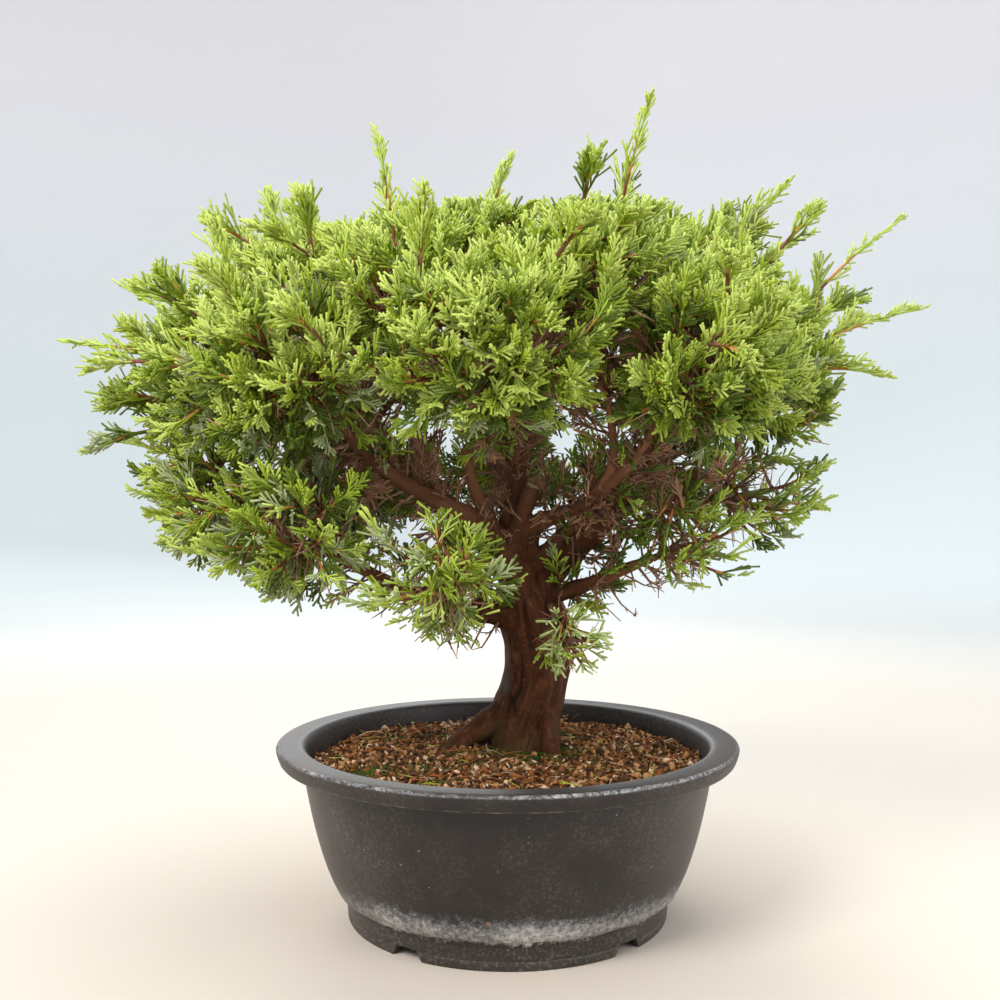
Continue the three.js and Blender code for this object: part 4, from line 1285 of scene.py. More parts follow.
@functools.cache
def tree():
    """The spaces, the limbs, and where each mass starts: its point and its radius"""
    spaces = {name: Space(name) for name in MASSES}

    def entry(name, source):
        """Where a mass's stem starts, on the side that its limb comes from"""
        space = spaces[name]
        back = unit(source - space.middle)
        return space.middle + back * ENTRY_SHARE * space.edge_distance(space.middle, back[None])[0]

    limbs, starts = {}, {}
    for name, (bough, share, *_) in MASSES.items():
        if share == 1:
            base, *points = BOUGHS[bough]
            points = [np.array(point, float) for point in points]
            made = Limb([*points, entry(name, points[-1])], base, BOUGH_TIP)
            limbs["bough_" + bough] = made
            starts[name] = (made.end, BOUGH_TIP)
    for index, (name, (bough, share, *_)) in enumerate(MASSES.items()):
        if bough == "trunk":
            starts[name] = (trunk_spray_root(), LIMB_TIP)
        elif share != 1:
            parent = limbs["bough_" + bough]
            fork = smooth_curve(parent.points, [share])[0][0]
            base = max(LIMB_TIP + 0.4, LIMB_SHARE * parent.radius_at(share))
            path = fork_path(parent, share, entry(name, fork), seeded(index + 101))
            made = Limb(path, base, LIMB_TIP)
            limbs["limb_" + name] = made
            starts[name] = (made.end, LIMB_TIP)
    return spaces, limbs, starts


def trunk_middle(heights):
    """The trunk's middle and radius at heights, smooth through its sections"""
    sections = np.array(TRUNK_SECTIONS, float)
    shares = np.interp(heights, sections[:, 0], np.linspace(0, 1, len(sections)))
    return smooth_curve(sections[:, [1, 2, 3]], shares)[0]


def trunk_tube():
    """The trunk's points and faces: level rings with ribs that run up into the boughs"""
    sides, rings = 96, 64
    heights = np.linspace(TRUNK_FOOT - 1.8, TRUNK_SECTIONS[-1][0] + 2, rings)
    slimmer = FOOT_SLIMMER * smoothstep(120, 98, heights)
    middle = trunk_middle(heights) + slimmer[:, None] * (1, 0, -1)
    azimuth = np.arange(sides) * 360 / sides
    turn = np.radians(azimuth)
    points = []
    for height, (x, y, radius) in zip(heights, middle):
        rise = height - TRUNK_FOOT
        twist = azimuth + TRUNK_TWIST * rise
        ribs = sum(share * np.sin(np.radians(count * twist + start)) for count, share, start in TRUNK_RIBS)
        wide = trunk_radius(radius, azimuth, rise, ROOT_FLARES[1:]) * (1 + ribs)
        ring = (x + wide * np.cos(turn), y + wide * np.sin(turn), np.full(sides, height))
        points.append(np.stack(ring, -1))
    return ring_mesh(np.array(points))


def ring_mesh(rings):
    """Points and triangles of rings of points, closed at both ends"""
    count, sides = rings.shape[:2]
    points = np.vstack((rings.reshape(-1, 3), rings[0].mean(axis=0), rings[-1].mean(axis=0)))
    a, b = ring_points(sides)
    last = (count - 1) * sides
    ends = fan_faces(b, a, len(points) - 2), fan_faces(last + a, last + b, len(points) - 1)
    return points, np.vstack((*ends, ring_faces(count, sides)))


def carried_frames(headings):
    """Two directions square to a row of headings, which turn as little as they can"""
    first = beside(headings[:1])[0][0]
    sides = []
    for heading in headings:
        first = unit(first - heading * np.dot(first, heading))
        sides.append(first)
    sides = np.array(sides)
    return sides, np.cross(headings, sides)


def limb_tube(limb, collar):
    """A round limb, a little wider where it leaves its parent"""
    steps = max(8, round(limb.length / 3))
    shares = np.linspace(0, 1, steps + 1)
    centres, headings = smooth_curve(limb.points, shares)
    radii = limb.radius_at(shares) * (1 + collar * np.exp(-shares * limb.length / COLLAR_FADE))
    ripple = np.sin(shares * limb.length * LIMB_RIPPLE_TURN + limb.base) * smoothstep(0, 0.2, shares)
    radii = radii * (1 + LIMB_RIPPLE * ripple)
    return ring_mesh(rings_round(centres, *carried_frames(headings), radii, LIMB_SIDES))


def root_limbs():
    """The roots that stand out of the trunk's foot, and the old forks over it"""
    return [Limb(points, base, tip) for base, tip, *points in (*ROOTS, *OLD_FORKS)]


def grain_lines():
    """Samples along the trunk and the limbs: place, heading, two sides, radius, distance run"""
    heights = np.arange(TRUNK_FOOT - 2, TRUNK_SECTIONS[-1][0] + 3, GRAIN_STEP)
    middle = trunk_middle(heights)
    lines = [(np.stack((middle[:, 0], middle[:, 1], heights), -1), middle[:, 2])]
    for limb in [*tree()[1].values(), *root_limbs()]:
        shares = np.linspace(0, 1, max(6, round(limb.length / GRAIN_STEP)))
        lines.append((smooth_curve(limb.points, shares)[0], limb.radius_at(shares)))
    rows = []
    for number, (centres, radii) in enumerate(lines):
        headings = unit(np.gradient(centres, axis=0))
        steps = np.linalg.norm(np.diff(centres, axis=0), axis=1)
        run = np.concatenate(([0], np.cumsum(steps)))[:, None] + GRAIN_APART * number
        rows.append(np.hstack((centres, headings, *carried_frames(headings), radii[:, None], run)))
    return np.vstack(rows)


def grain_places(points):
    """Each bark point's place across and along its limb, and the limb's radius there"""
    lines = grain_lines()
    centres, radii = lines[:, :3], lines[:, 12]
    nearest = []
    for chunk in np.array_split(points, max(1, len(points) // 4000)):
        apart = np.linalg.norm(chunk[:, None] - centres[None], axis=-1) - radii * 1.15
        nearest.append(apart.argmin(axis=1))
    row = lines[np.concatenate(nearest)]
    away = points - row[:, :3]
    along, across, over = (dot(away, row[:, first:first + 3])[:, 0] for first in (3, 6, 9))
    return np.stack((across, over, along + row[:, 13]), -1), row[:, 12]


def bark_finish(settings):
    """Reddish-brown bark that flakes in long strips, with painted shade in its cracks, greenish low down, and
    lighter high up as painted light on the boughs
    """
    finish = Finish("flaking_bark", settings.brown, 0.85, 0.14)
    place = finish.place()
    across, height = finish.part(place, "X"), finish.part(place, "Z")
    grain = finish.attribute("grain").outputs["Vector"]
    crack, age, cut = (finish.attribute(name).outputs["Fac"] for name in ("crack", "age", "cut"))
    tints = {**BARK_TINTS, "worn": tuple(settings.worn)}
    strips = finish.noise(grain, 0.3, 5, 0.6)
    fibres = finish.noise(grain, 1.6, 4, 0.6)
    flakes = finish.noise(place, 330, 5, 0.75)
    low = finish.span(finish.noise(place, 38, 3, 0.6), 0.42, 0.62)
    low = finish.times(finish.span(height, 0.132, 0.094), low)
    left = finish.times(finish.span(across, 0.0035, -0.0025), finish.span(height, 0.119, 0.128))
    left = finish.times(left, finish.span(height, 0.152, 0.143))
    brown = finish.ramp(
        strips, (0.26, tints["furrow"]), (0.48, tuple(settings.brown)), (0.66, tints["ridge"]),
        (0.85, tints["worn"]),
    )
    # Each tint over the brown: where it lies and how much of it shows there
    layers = (
        ("worn", finish.span(finish.noise(place, 60, 4, 0.6), 0.5, 0.72), 0.5),
        ("red", finish.span(finish.noise(place, 75, 4, 0.6), 0.5, 0.72), 0.6),
        ("shade", finish.span(finish.noise(place, 95, 4, 0.65), 0.48, 0.3), 0.6),
        ("dark_fibre", finish.span(fibres, 0.42, 0.2), 0.4),
        ("worn", finish.span(flakes, 0.54, 0.7), 0.6),
        ("hollow", finish.span(flakes, 0.46, 0.3), 0.5),
        ("algae", low, 0.5),
        ("scar", left, 0.6),
        # Painted light: lighter bark on the boughs high up, which lie in the crown's shade
        ("upper", finish.span(height, 0.185, 0.235), 0.4),
        # Painted shade in the cracks
        ("crack", crack, 0.85),
    )
    for tint, where, share in layers:
        brown = finish.blend(finish.times(where, share), brown, tints[tint])
    young = finish.blend(fibres, tints["young"], tints["young_pale"])
    finish.colour(finish.blend(cut, finish.blend(age, young, brown), tints["cut_wood"]))
    relief = finish.plus(finish.times(strips, 0.4), finish.times(fibres, 0.3))
    finish.bump(finish.plus(relief, finish.times(flakes, 0.5)), 0.0007, 0.9)
    return finish.material


def bark_relief(settings, points):
    """How far each bark point moves out in millimetres, how deep it is in a crack, its grain and its age"""
    grain, radii = grain_places(points)
    stretched = grain * RELIEF_STRETCH
    strips = rough(stretched, 3.4, 5.3)
    plates = rough(stretched, 8.5, 9.1)
    lumps = rough(points, 12.0, 2.2)
    line = np.abs(rough(stretched + 0.6 * lumps[:, None], 7.0, 13.7))
    crack = smoothstep(0.075, 0.0, line) * smoothstep(2.2, 7.0, radii)
    crack = crack * smoothstep(-0.1, 0.3, plates + 0.4 * lumps)
    size = settings.relief / MM * (0.3 + 0.7 * smoothstep(2, 17, radii))
    out = size * (0.26 * strips + 0.16 * plates - 1.1 * crack) + 0.9 * lumps * smoothstep(1.5, 12, radii)
    return out, crack, grain * GRAIN_STRETCH, smoothstep(1.8, 4.5, radii)


def bark_shell():
    """The trunk, boughs, limbs, roots and stubs as closed tubes"""
    shells = [trunk_tube()]
    for name, limb in tree()[1].items():
        shells.append(limb_tube(limb, BOUGH_COLLAR if name.startswith("bough") else LIMB_COLLAR))
    shells += [limb_tube(root, 0.0) for root in root_limbs()]
    shells += [limb_tube(Limb((start, end), size, size), STUB_COLLAR) for size, start, end in STUBS]
    return joined(shells)


def cut_faces(points):
    """1 for points on the pale cut faces of the first stubs, 0 for the rest"""
    cut = np.zeros(len(points))
    for size, start, end in STUBS[:PALE_STUBS]:
        away = points - end
        face = smoothstep(-0.9, -0.3, away @ unit(np.subtract(end, start, dtype=float)))
        cut = np.maximum(cut, face * smoothstep(size + 1, size, np.linalg.norm(away, axis=1)))
    return cut


def make_bark(settings):
    """The trunk, boughs and limbs as one skin with the bark's relief"""
    bark = new_piece("bark", *bark_shell(), [])
    skin = bark.modifiers.new("skin", "REMESH")
    skin.mode = "VOXEL"
    skin.voxel_size = settings.detail
    even = bark.modifiers.new("even", "SMOOTH")
    even.factor = 0.5
    even.iterations = 3
    mesh = applied(bark)
    mesh.shade_smooth()
    points = mesh_points(mesh)
    normals = np.empty(len(mesh.vertices) * 3, np.float32)
    mesh.vertices.foreach_get("normal", normals)
    out, crack, grain, age = bark_relief(settings, points)
    set_mesh_points(mesh, points + normals.reshape(-1, 3) * (out + BARK_OUT)[:, None])
    for name, values in (("crack", crack), ("age", age), ("grain", grain), ("cut", cut_faces(points))):
        set_attribute(mesh, name, values)
    mesh.materials.append(bark_finish(settings))
    finish_piece(bark, "bark", "trunk", *tree()[1])


# The twigs and the leaves


# The whole crown: its middle and its reach
CROWN = {"middle": np.array((0.0, 0.0, 280.0)), "reach": np.array((228.0, 178.0, 150.0))}
# The sum of the masses' fields at the crown's skin
FIELD_EDGE = 1.4
GOLDEN_ANGLE = math.pi * (3 - 5**0.5)
# The middling area of a mass that has the full number of plumes, and the length that a plume likes to have
DENSE_AREA = 2700
PLUME_LENGTH = 30
# The hues of a plume
GREEN, GREY, PALE, DEAD = range(4)
# How a mass's plumes grow: their share of the usual number, how far in their tips may end, the sprays of
# each and the cords on a spray's sides, how long its sprays are, the share of pale plumes, and how much
# lighter all of them are
USUAL_HABIT = {"plumes": 1.0, "ragged": 0.36, "sprays": 7, "cords": 6, "size": 1.0, "pale": 0.0, "light": 0.0}
HABITS = {
    "trunk_spray": {
        "plumes": 0.42, "ragged": 0.6, "sprays": 3, "cords": 4, "size": 1.45, "pale": 0.9, "light": 0.3,
    },
    "front_low": {
        "plumes": 0.34, "ragged": 0.75, "sprays": 5, "cords": 5, "size": 1.2, "pale": 0.3, "light": 0.1,
    },
    "right_front_low": {"plumes": 0.26, "ragged": 0.6, "sprays": 4, "cords": 5, "size": 1.15},
    "right_low": {"plumes": 0.32, "ragged": 0.55, "sprays": 5, "cords": 5},
    "back_right_low": {"plumes": 0.6, "ragged": 0.5},
    "left_front_low": {"plumes": 0.7, "ragged": 0.55, "sprays": 6},
    "left_low": {"plumes": 0.75, "ragged": 0.5, "sprays": 6},
    "back_left_low": {"plumes": 0.8, "ragged": 0.5},
}
# How a plume carries its sprays: the bare share of it, its longest and shortest spray in millimetres, and how
# wide they stand
PLUME_SPRAYS = {"bare": 0.2, "longest": 15, "shortest": 8, "spread": 1.0}
TWIG_END_SPRAYS = {"bare": 0.55, "longest": 15, "shortest": 8, "spread": 1.0}
WAND_SPRAYS = {"bare": 0.2, "longest": 19, "shortest": 5, "spread": 0.72}
SPRIG_SPRAYS = {"bare": 0.3, "longest": 13, "shortest": 9, "spread": 1.0}
# The rings of a leaf cord, how far along it and how thick a share of its width: first a spray's middle cord,
# then the cords on its sides
STEM_RINGS = ((0.0, 0.75), (0.55, 0.9), (1.0, 0.86))
TIP_RINGS = ((0.0, 0.66), (1.0, 0.94))
# Thin tubes have three sides
TUBE_SIDES = 3
# The finishes of twigs: two close colours of each
TWIG_FINISHES = {
    "twig_old": ((0.12, 0.05, 0.026), (0.27, 0.125, 0.07)),
    "twig_red": ((0.13, 0.035, 0.014), (0.25, 0.08, 0.03)),
    "twig_orange": ((0.42, 0.16, 0.035), (0.55, 0.27, 0.06)),
    "twig_green": ((0.24, 0.38, 0.05), (0.38, 0.52, 0.07)),
    "twig_dead": ((0.24, 0.11, 0.06), (0.46, 0.27, 0.17)),
}
OLD, RED, ORANGE, YOUNG, WITHERED = range(5)
# The tubes of each mass: their radius at both ends in millimetres, and the finish of each step along them
MASS_TUBES = {
    "twigs": (1.35, 0.6, (OLD, OLD, OLD, RED, ORANGE, YOUNG)),
    "plumes": (0.85, 0.55, (RED, ORANGE, YOUNG)),
    "wands": (1.5, 0.6, (OLD, OLD, OLD, RED, RED, ORANGE, ORANGE, YOUNG, YOUNG, YOUNG)),
    "bare": (0.7, 0.3, (OLD, WITHERED)),
}
STEM_TIP = 1.5
DEAD_TWIGLET = (0.42, 0.2)
# Twiglets that leave a twig: where along it, how long they are, how much they keep its heading, and how much
# they stray from it
DEAD_ON_TWIGS = {"shares": (0.06, 0.6), "lengths": (7, 19), "keep": 0.6, "stray": 0.7}
FORKS_ON_TWIGLETS = {"shares": (0.3, 0.95), "lengths": (4, 12), "keep": 1.0, "stray": 0.55}
# How much of the crown's reach an outer tip is out that may become a wand, how far wands stand out, and the
# levels between which they become as many as the setting says
WAND_OUT = 0.84
WAND_LENGTHS = (9, 38)
WAND_LEVELS = (215, 275)
FEWEST_WANDS = 0.2


def tube_faces(steps):
    """How many faces a thin tube of so many steps has"""
    return 2 * TUBE_SIDES * steps + 2


def arc_tubes(arc, base, tip, steps):
    """Thin tubes along arcs, closed at both ends"""
    rings = []
    for step in range(steps + 1):
        share = step / steps
        sides = beside(arc_heading(arc, share))
        rings.append(rings_round(arc_point(arc, share), *sides, mix(base, tip, share), TUBE_SIDES))
    points = np.stack(rings, axis=1).reshape(len(base), -1, 3)
    last = steps * TUBE_SIDES
    shape = np.vstack((ring_faces(steps + 1, TUBE_SIDES), (0, 2, 1), (last, last + 1, last + 2)))
    return points.reshape(-1, 3), copies(shape, points.shape[1], len(base))


def cord_faces(rings):
    """The triangles of a three-sided rod with a blunt end"""
    last = TUBE_SIDES * (rings - 1)
    return np.vstack((ring_faces(rings, TUBE_SIDES), (last, last + 1, last + 2)))


def leaf_cords(cords, rings):
    """Points and faces of scaly leaf cords: blunt three-sided rods that curl a little"""
    base, heading, curl = cords["base"], cords["heading"], cords["curl"]
    length, width = cords["length"][:, None], cords["width"][:, None]
    first, second = beside(heading)
    points = []
    for share, thick in rings:
        centre = base + heading * share * length + curl * share**2 * length
        for turn in circle(TUBE_SIDES):
            points.append(centre + (first * math.cos(turn) + second * math.sin(turn)) * width * thick / 2)
    points = np.stack(points, axis=1)
    return points.reshape(-1, 3), copies(cord_faces(len(rings)), points.shape[1], len(base))


def clear_of_limbs(points, berth):
    """Whether points keep clear of the limbs"""
    _, limbs, _ = tree()
    low, high = points.min(axis=0) - 14, points.max(axis=0) + 14
    free = np.ones(len(points), bool)
    for limb in limbs.values():
        spine = limb.spine
        if np.any(spine.max(axis=0) < low) or np.any(spine.min(axis=0) > high):
            continue
        start, run = spine[:-1], np.diff(spine, axis=0)
        away = points[:, None] - start[None]
        share = np.clip(np.sum(away * run, axis=-1) / np.sum(run * run, axis=-1), 0, 1)
        apart = np.linalg.norm(away - run * share[..., None], axis=-1)
        free &= np.all(apart > limb.radii[:-1] + berth, axis=1)
    return free


def outwards(points):
    """The heading from the crown's middle to points"""
    return unit((points - CROWN["middle"]) / CROWN["reach"])


def exposure(points):
    """How far out in the whole crown points are: 0 in its middle, 1 at its outside"""
    return np.linalg.norm((points - CROWN["middle"]) / CROWN["reach"], axis=-1)


def depth(points):
    """How deep points are among the masses: 0 at the crown's skin, less outside it, about 1 in a lone mass"""
    middles = np.array([row[2] for row in MASSES.values()], float)
    reaches = np.array([row[3] for row in MASSES.values()], float)
    far = np.sum(((points[..., None, :] - middles) / reaches) ** 2, axis=-1)
    return np.log(np.exp(1.0 - far).sum(axis=-1) / FIELD_EDGE)


def underside(space, points):
    """0 for points level with a mass's middle or higher, 1 at its underside"""
    return smoothstep(0.15, 1.0, (space.middle[2] - points[:, 2]) / space.reach[2])


def holds(space, points, ease=0.0, over=0.0):
    """Whether points are in a mass's own part of the crown, or a little past its skin or its walls"""
    return space.walled(points, over) & (depth(points) > -ease)


def skin_distance(space, directions):
    """How far it is from a mass's middle to the crown's skin or to its neighbour's space"""
    steps = np.linspace(0.5, 1.7, 25)
    reach = space.edge_distance(space.middle, directions, walled=False)
    places = space.middle + directions[:, None] * (reach[:, None] * steps)[..., None]
    furthest = np.where(holds(space, places), steps, 0.5).max(axis=1)
    return reach * furthest


def even_directions(count, turn):
    """Directions spread evenly on all sides"""
    rise = 1 - (2 * np.arange(count) + 1) / count
    azimuth = np.arange(count) * GOLDEN_ANGLE + turn
    flat = np.sqrt(1 - rise**2)
    return np.stack((flat * np.cos(azimuth), flat * np.sin(azimuth), rise), -1)


def pick(rows, keep):
    """The rows of a set of equally long arrays that are kept"""
    return {key: value[keep] for key, value in rows.items()}


def gather(sets):
    """Several sets of arrays as one"""
    return {key: np.concatenate([rows[key] for rows in sets]) for key in sets[0]}


def turned_aside(heading, places, lean, turn):
    """Headings leant by an angle, which at no turn and at half a turn lie flat in the crown's skin"""
    side = unit(np.cross(heading, outwards(places) + 0.15 * UP))
    face = np.cross(heading, side)
    lean, turn = lean[:, None], turn[:, None]
    return heading * np.cos(lean) + (side * np.cos(turn) + face * np.sin(turn)) * np.sin(lean)


def plumes_to(chance, twigs, tips):
    """Plumes that leave the twigs near by and bend up to their tips"""
    arcs = arcs_of(twigs)
    shares = np.linspace(0.12, 0.94, 12)[:, None, None]
    roots = arc_point(arcs, shares).reshape(-1, 3)
    headings = arc_heading(arcs, shares).reshape(-1, 3)
    away = tips[:, None] - roots[None]
    length = np.linalg.norm(away, axis=-1)
    along = np.sum(away * outwards(tips)[:, None], axis=-1) / np.maximum(length, 1)
    short = np.maximum(0, PLUME_LENGTH - length)
    long = np.maximum(0, length - PLUME_LENGTH)
    cost = 1.6 * short + long + 14 * (1 - along) + chance.uniform(0, 8, length.shape)
    best = cost.argmin(axis=1)
    start, heading = roots[best], headings[best]
    reach = np.take_along_axis(length, best[:, None], axis=1)
    bend = mix(start, tips, 0.5) + (heading * 0.14 - UP * 0.1) * reach
    return {"start": start, "bend": bend, "end": tips}


def plume_sprays(chance, plumes, count, bare, longest, shortest, spread):
    """Sprays that leave their plumes by turns on both sides, and one more at each tip"""
    arcs = arcs_of(plumes)
    total = len(arcs[0])
    roll = chance.normal(0, 0.6, total)
    sprays = []
    for k in range(count + 1):
        along = mix(bare, 0.96, (k + chance.uniform(0.2, 0.8, total)) / count)
        lean = chance.uniform(0.55, 0.9, total) * mix(1.1, 0.7, along) * spread
        if k == count:
            along, lean = np.full(total, 0.985), np.full(total, 0.06)
        share = along[:, None]
        root, heading = arc_point(arcs, share), arc_heading(arcs, share)
        way = turned_aside(heading, root, lean, roll + k * math.pi + chance.normal(0, 0.6, total))
        run = (along - bare) / (1 - bare)
        sprays.append({
            "base": root, "heading": unit(way + UP * 0.12 + outwards(root) * 0.12), "forward": heading,
            "length": mix(longest, shortest, run**0.8) * chance.uniform(0.7, 1.3, total),
            "tone": plumes["tone"] + 0.5 * (run - 0.62) + chance.normal(0, 0.15, total),
            "hue": plumes["hue"], "size": plumes["size"],
        })
    return gather(sprays)


def spray_cords(chance, sprays, width, side_cords):
    """The leaf cords of each spray: one along its middle, and cords that leave it by turns on both sides"""
    total = len(sprays["base"])
    heading, size = sprays["heading"], sprays["size"]
    length = (sprays["length"] * size)[:, None]
    lift = UP * 0.13 + sprays["forward"] * 0.08
    shared = {key: sprays[key] for key in ("tone", "hue")}
    stems = {
        "base": sprays["base"], "heading": heading, "curl": lift, "length": length[:, 0],
        "width": np.full(total, width), **shared,
    }
    tips = []
    roll = chance.normal(0, 0.5, total)
    for k in range(side_cords):
        share = (0.14 + 0.76 * (k + chance.uniform(0.2, 0.8, total)) / side_cords)[:, None]
        root = sprays["base"] + heading * share * length + lift * share**2 * length
        turn = roll + k * math.pi + chance.normal(0, 0.3, total)
        way = turned_aside(heading, root, chance.uniform(0.48, 0.72, total), turn)
        tips.append({
            "base": root, "heading": unit(way + UP * 0.06), "curl": heading * 0.2 + UP * 0.05,
            "length": (mix(0.46, 0.32, share) * length)[:, 0] * chance.uniform(0.75, 1.3, total) + 0.9,
            "width": width * chance.uniform(0.86, 1.06, total), **shared,
        })
    return stems, gather(tips)


def tone_plumes(chance, habit, plumes):
    """Gives each plume how bright it is, from 0 to 1, its hue and how long its sprays are"""
    tip = plumes["end"]
    count = len(tip)
    far = exposure(tip)
    high = smoothstep(190, 350, tip[:, 2])
    # Painted light: plumes higher up are brighter. Plumes further out are brighter as fresh growth, and those
    # further in are darker, partly as older leaves and partly as painted shade
    tone = 0.3 + 0.3 * smoothstep(0.5, 1.0, far) + 0.22 * high + chance.normal(0, 0.13, count)
    tone = tone - 0.32 * (chance.uniform(size=count) < 0.14)
    low_left = smoothstep(290, 215, tip[:, 2]) * smoothstep(60, -80, tip[:, 0])
    grey = chance.uniform(size=count) < 0.03 + 0.5 * low_left
    hue = np.where(grey, GREY, GREEN)
    hue = np.where(chance.uniform(size=count) < habit["pale"], PALE, hue)
    dead = chance.uniform(size=count) < 0.6 * smoothstep(0.66, 0.5, far)
    plumes["hue"] = np.where(dead, DEAD, hue)
    plumes["tone"] = tone + habit["light"]
    plumes["size"] = np.full(count, habit["size"])


def tone_mass(chance, space, habit, plumes):
    """Tones a mass's plumes, duller on its underside as painted shade, and greyer there, partly as old grey
    leaves and partly as painted shade
    """
    tone_plumes(chance, habit, plumes)
    under = underside(space, plumes["end"])
    # Painted shade on the mass's underside
    plumes["tone"] = plumes["tone"] - 0.12 * under
    shaded = (chance.uniform(size=len(under)) < 0.4 * under) & (plumes["hue"] == GREEN)
    plumes["hue"] = np.where(shaded, GREY, plumes["hue"])


def stem_arcs(stem, numbers, tips):
    """Arcs from places spread along a mass's stem to tips"""
    root = smooth_curve(stem, mix(0.2, 0.96, (0.5 + numbers * EVEN["along"]) % 1))[0]
    reach = np.linalg.norm(tips - root, axis=1)[:, None]
    return {"start": root, "bend": mix(root, tips, 0.55) - UP * 0.12 * reach, "end": tips}


def mass_twigs(chance, space, stem, axis, count):
    """A mass's twigs, which fan out from its stem and keep clear of the limbs"""
    numbers = np.arange(count)
    directions = fan_directions(axis, numbers)
    reach = skin_distance(space, directions) * chance.uniform(0.8, 0.96, count)
    twigs = stem_arcs(stem, numbers, space.middle + directions * reach[:, None])
    free = clear_of_limbs(np.vstack((twigs["bend"], twigs["end"])), 1.0).reshape(2, -1).all(axis=0)
    return pick(twigs, free)


def plume_tips(chance, space, habit, usual_count):
    """Where a mass's plumes end, spread over its skin: those with leaves, and bare ones further in"""
    area = np.prod(space.reach) ** (2 / 3) / DENSE_AREA
    count = round(usual_count * area * habit["plumes"])
    directions = unit(even_directions(count, chance.uniform(0, 6)) + chance.normal(0, 0.12, (count, 3)))
    reach = skin_distance(space, directions) * chance.uniform(1.0 - habit["ragged"], 1.0, count)
    tips = space.middle + directions * reach[:, None]
    kept = mix(0.45, 1.0, smoothstep(0.45, 0.75, exposure(tips)))
    kept = kept * mix(1.0, 0.3, smoothstep(0.3, 0.7, depth(tips))) * mix(1.0, 0.5, underside(space, tips))
    dice = chance.uniform(size=count)
    leafy = (dice < kept) & clear_of_limbs(tips, 2.0)
    return tips[leafy], tips[~leafy & (dice < kept + 0.5)]


def wand_tips(chance, tips, share):
    """Which outer tips are drawn out into wands, fewer of them low down, and where those would end"""
    often = share * mix(FEWEST_WANDS, 1.0, smoothstep(*WAND_LEVELS, tips[:, 2]))
    out = (exposure(tips) > WAND_OUT) & (chance.uniform(size=len(tips)) < often)
    way = unit(outwards(tips) * (1, 1, 0.6) + UP * 0.12 + chance.normal(0, 0.3, tips.shape))
    past = tips + way * chance.uniform(*WAND_LENGTHS, len(tips))[:, None]
    return out, past.clip(CAD_BOX_MM[0] + WAND_BERTH, CAD_BOX_MM[1] - WAND_BERTH)


def cords_inside(space, cords):
    """The leaf cords that stay in a mass's own part of the crown, clear of the limbs"""
    tips = cords["base"] + (cords["heading"] + cords["curl"]) * cords["length"][:, None]
    clear = clear_of_limbs(tips, 0.9) & clear_of_limbs(cords["base"], 0.5)
    return pick(cords, holds(space, tips, 0.1, 8.0) & clear)


def grow_mass(settings, name):
    """The twigs, plumes and leaf cords of one mass, by the source's rule"""
    spaces, _, starts = tree()
    *_, dense, shoots = MASSES[name]
    space, (foot, stem_radius) = spaces[name], starts[name]
    habit = {**USUAL_HABIT, **HABITS.get(name, {})}
    chance = np.random.default_rng(list(MASSES).index(name) + 1)
    axis = unit(unit(space.middle - foot) + unit(space.middle - HEART) * AXIS_OUT + UP * AXIS_UP)
    stem_end = space.middle + axis * STEM_PAST * space.edge_distance(space.middle, axis[None])[0]
    stem = (foot, mix(foot, space.middle, HUB_SHARE), stem_end)

    twigs = mass_twigs(chance, space, stem, axis, settings.twigs if dense else settings.open_twigs)
    tips, bare_tips = plume_tips(chance, space, habit, settings.plumes)
    bare = plumes_to(chance, twigs, bare_tips)
    out, past = wand_tips(chance, tips, settings.wands)
    out = out & dense
    wands = plumes_to(chance, twigs, past[out])
    plumes = plumes_to(chance, twigs, tips[~out])
    if shoots:
        wands = gather([wands, stem_arcs(stem, np.arange(len(shoots)), np.array(shoots, float))])
    reach = np.linalg.norm(wands["end"] - wands["start"], axis=1)[:, None]
    wands["bend"] = mix(wands["start"], wands["end"], 0.56) + UP * 0.13 * reach
    ends = pick(twigs, exposure(twigs["end"]) > 0.5)
    for rows in (ends, wands, plumes):
        tone_mass(chance, space, habit, rows)
    wands["tone"] = wands["tone"] + chance.uniform(-0.08, 0.16, len(wands["tone"]))

    width = settings.cord / MM
    sprays = gather([
        plume_sprays(chance, ends, habit["sprays"] - 1, **TWIG_END_SPRAYS),
        plume_sprays(chance, plumes, habit["sprays"], **PLUME_SPRAYS),
    ])
    stems, cords = (cords_inside(space, rows) for rows in spray_cords(chance, sprays, width, habit["cords"]))
    if len(wands["start"]):
        feathers = plume_sprays(chance, wands, 17, **WAND_SPRAYS)
        feathers = pick(feathers, chance.uniform(size=len(feathers["base"])) < 0.9)
        more_stems, more_cords = spray_cords(chance, feathers, width, 4)
        stems, cords = gather([stems, more_stems]), gather([cords, more_cords])
    return {
        "stem": stem, "stem_radius": stem_radius, "twigs": twigs, "plumes": plumes, "wands": wands,
        "bare": bare, "stems": stems, "cords": cords,
    }


@functools.cache
def crown():
    """Every mass of the crown"""
    settings = bpy.context.scene.juniper_crown
    return {name: grow_mass(settings, name) for name in MASSES}


def leaf_materials(settings):
    """Plain leaf colours, from dark to bright, then grey, pale and dead"""
    keys = ("deep", "mid", "fresh", "bright", "grey", "pale", "dead")
    return [Finish("leaf_" + key, tuple(getattr(settings, key)), 0.46, 0.4).material for key in keys]


def cord_kinds(cords):
    """Which leaf colour each cord has"""
    hue, tone = cords["hue"], cords["tone"]
    kinds = np.digitize(tone, (0.3, 0.5, 0.7))
    kinds = np.where((hue == GREY) & (kinds < 3), np.where(tone < 0.3, 0, 4), kinds)
    kinds = np.where(hue == PALE, np.where(tone < 0.45, 2, 5), kinds)
    return np.where(hue == DEAD, np.where(tone < 0.12, 0, 6), kinds)


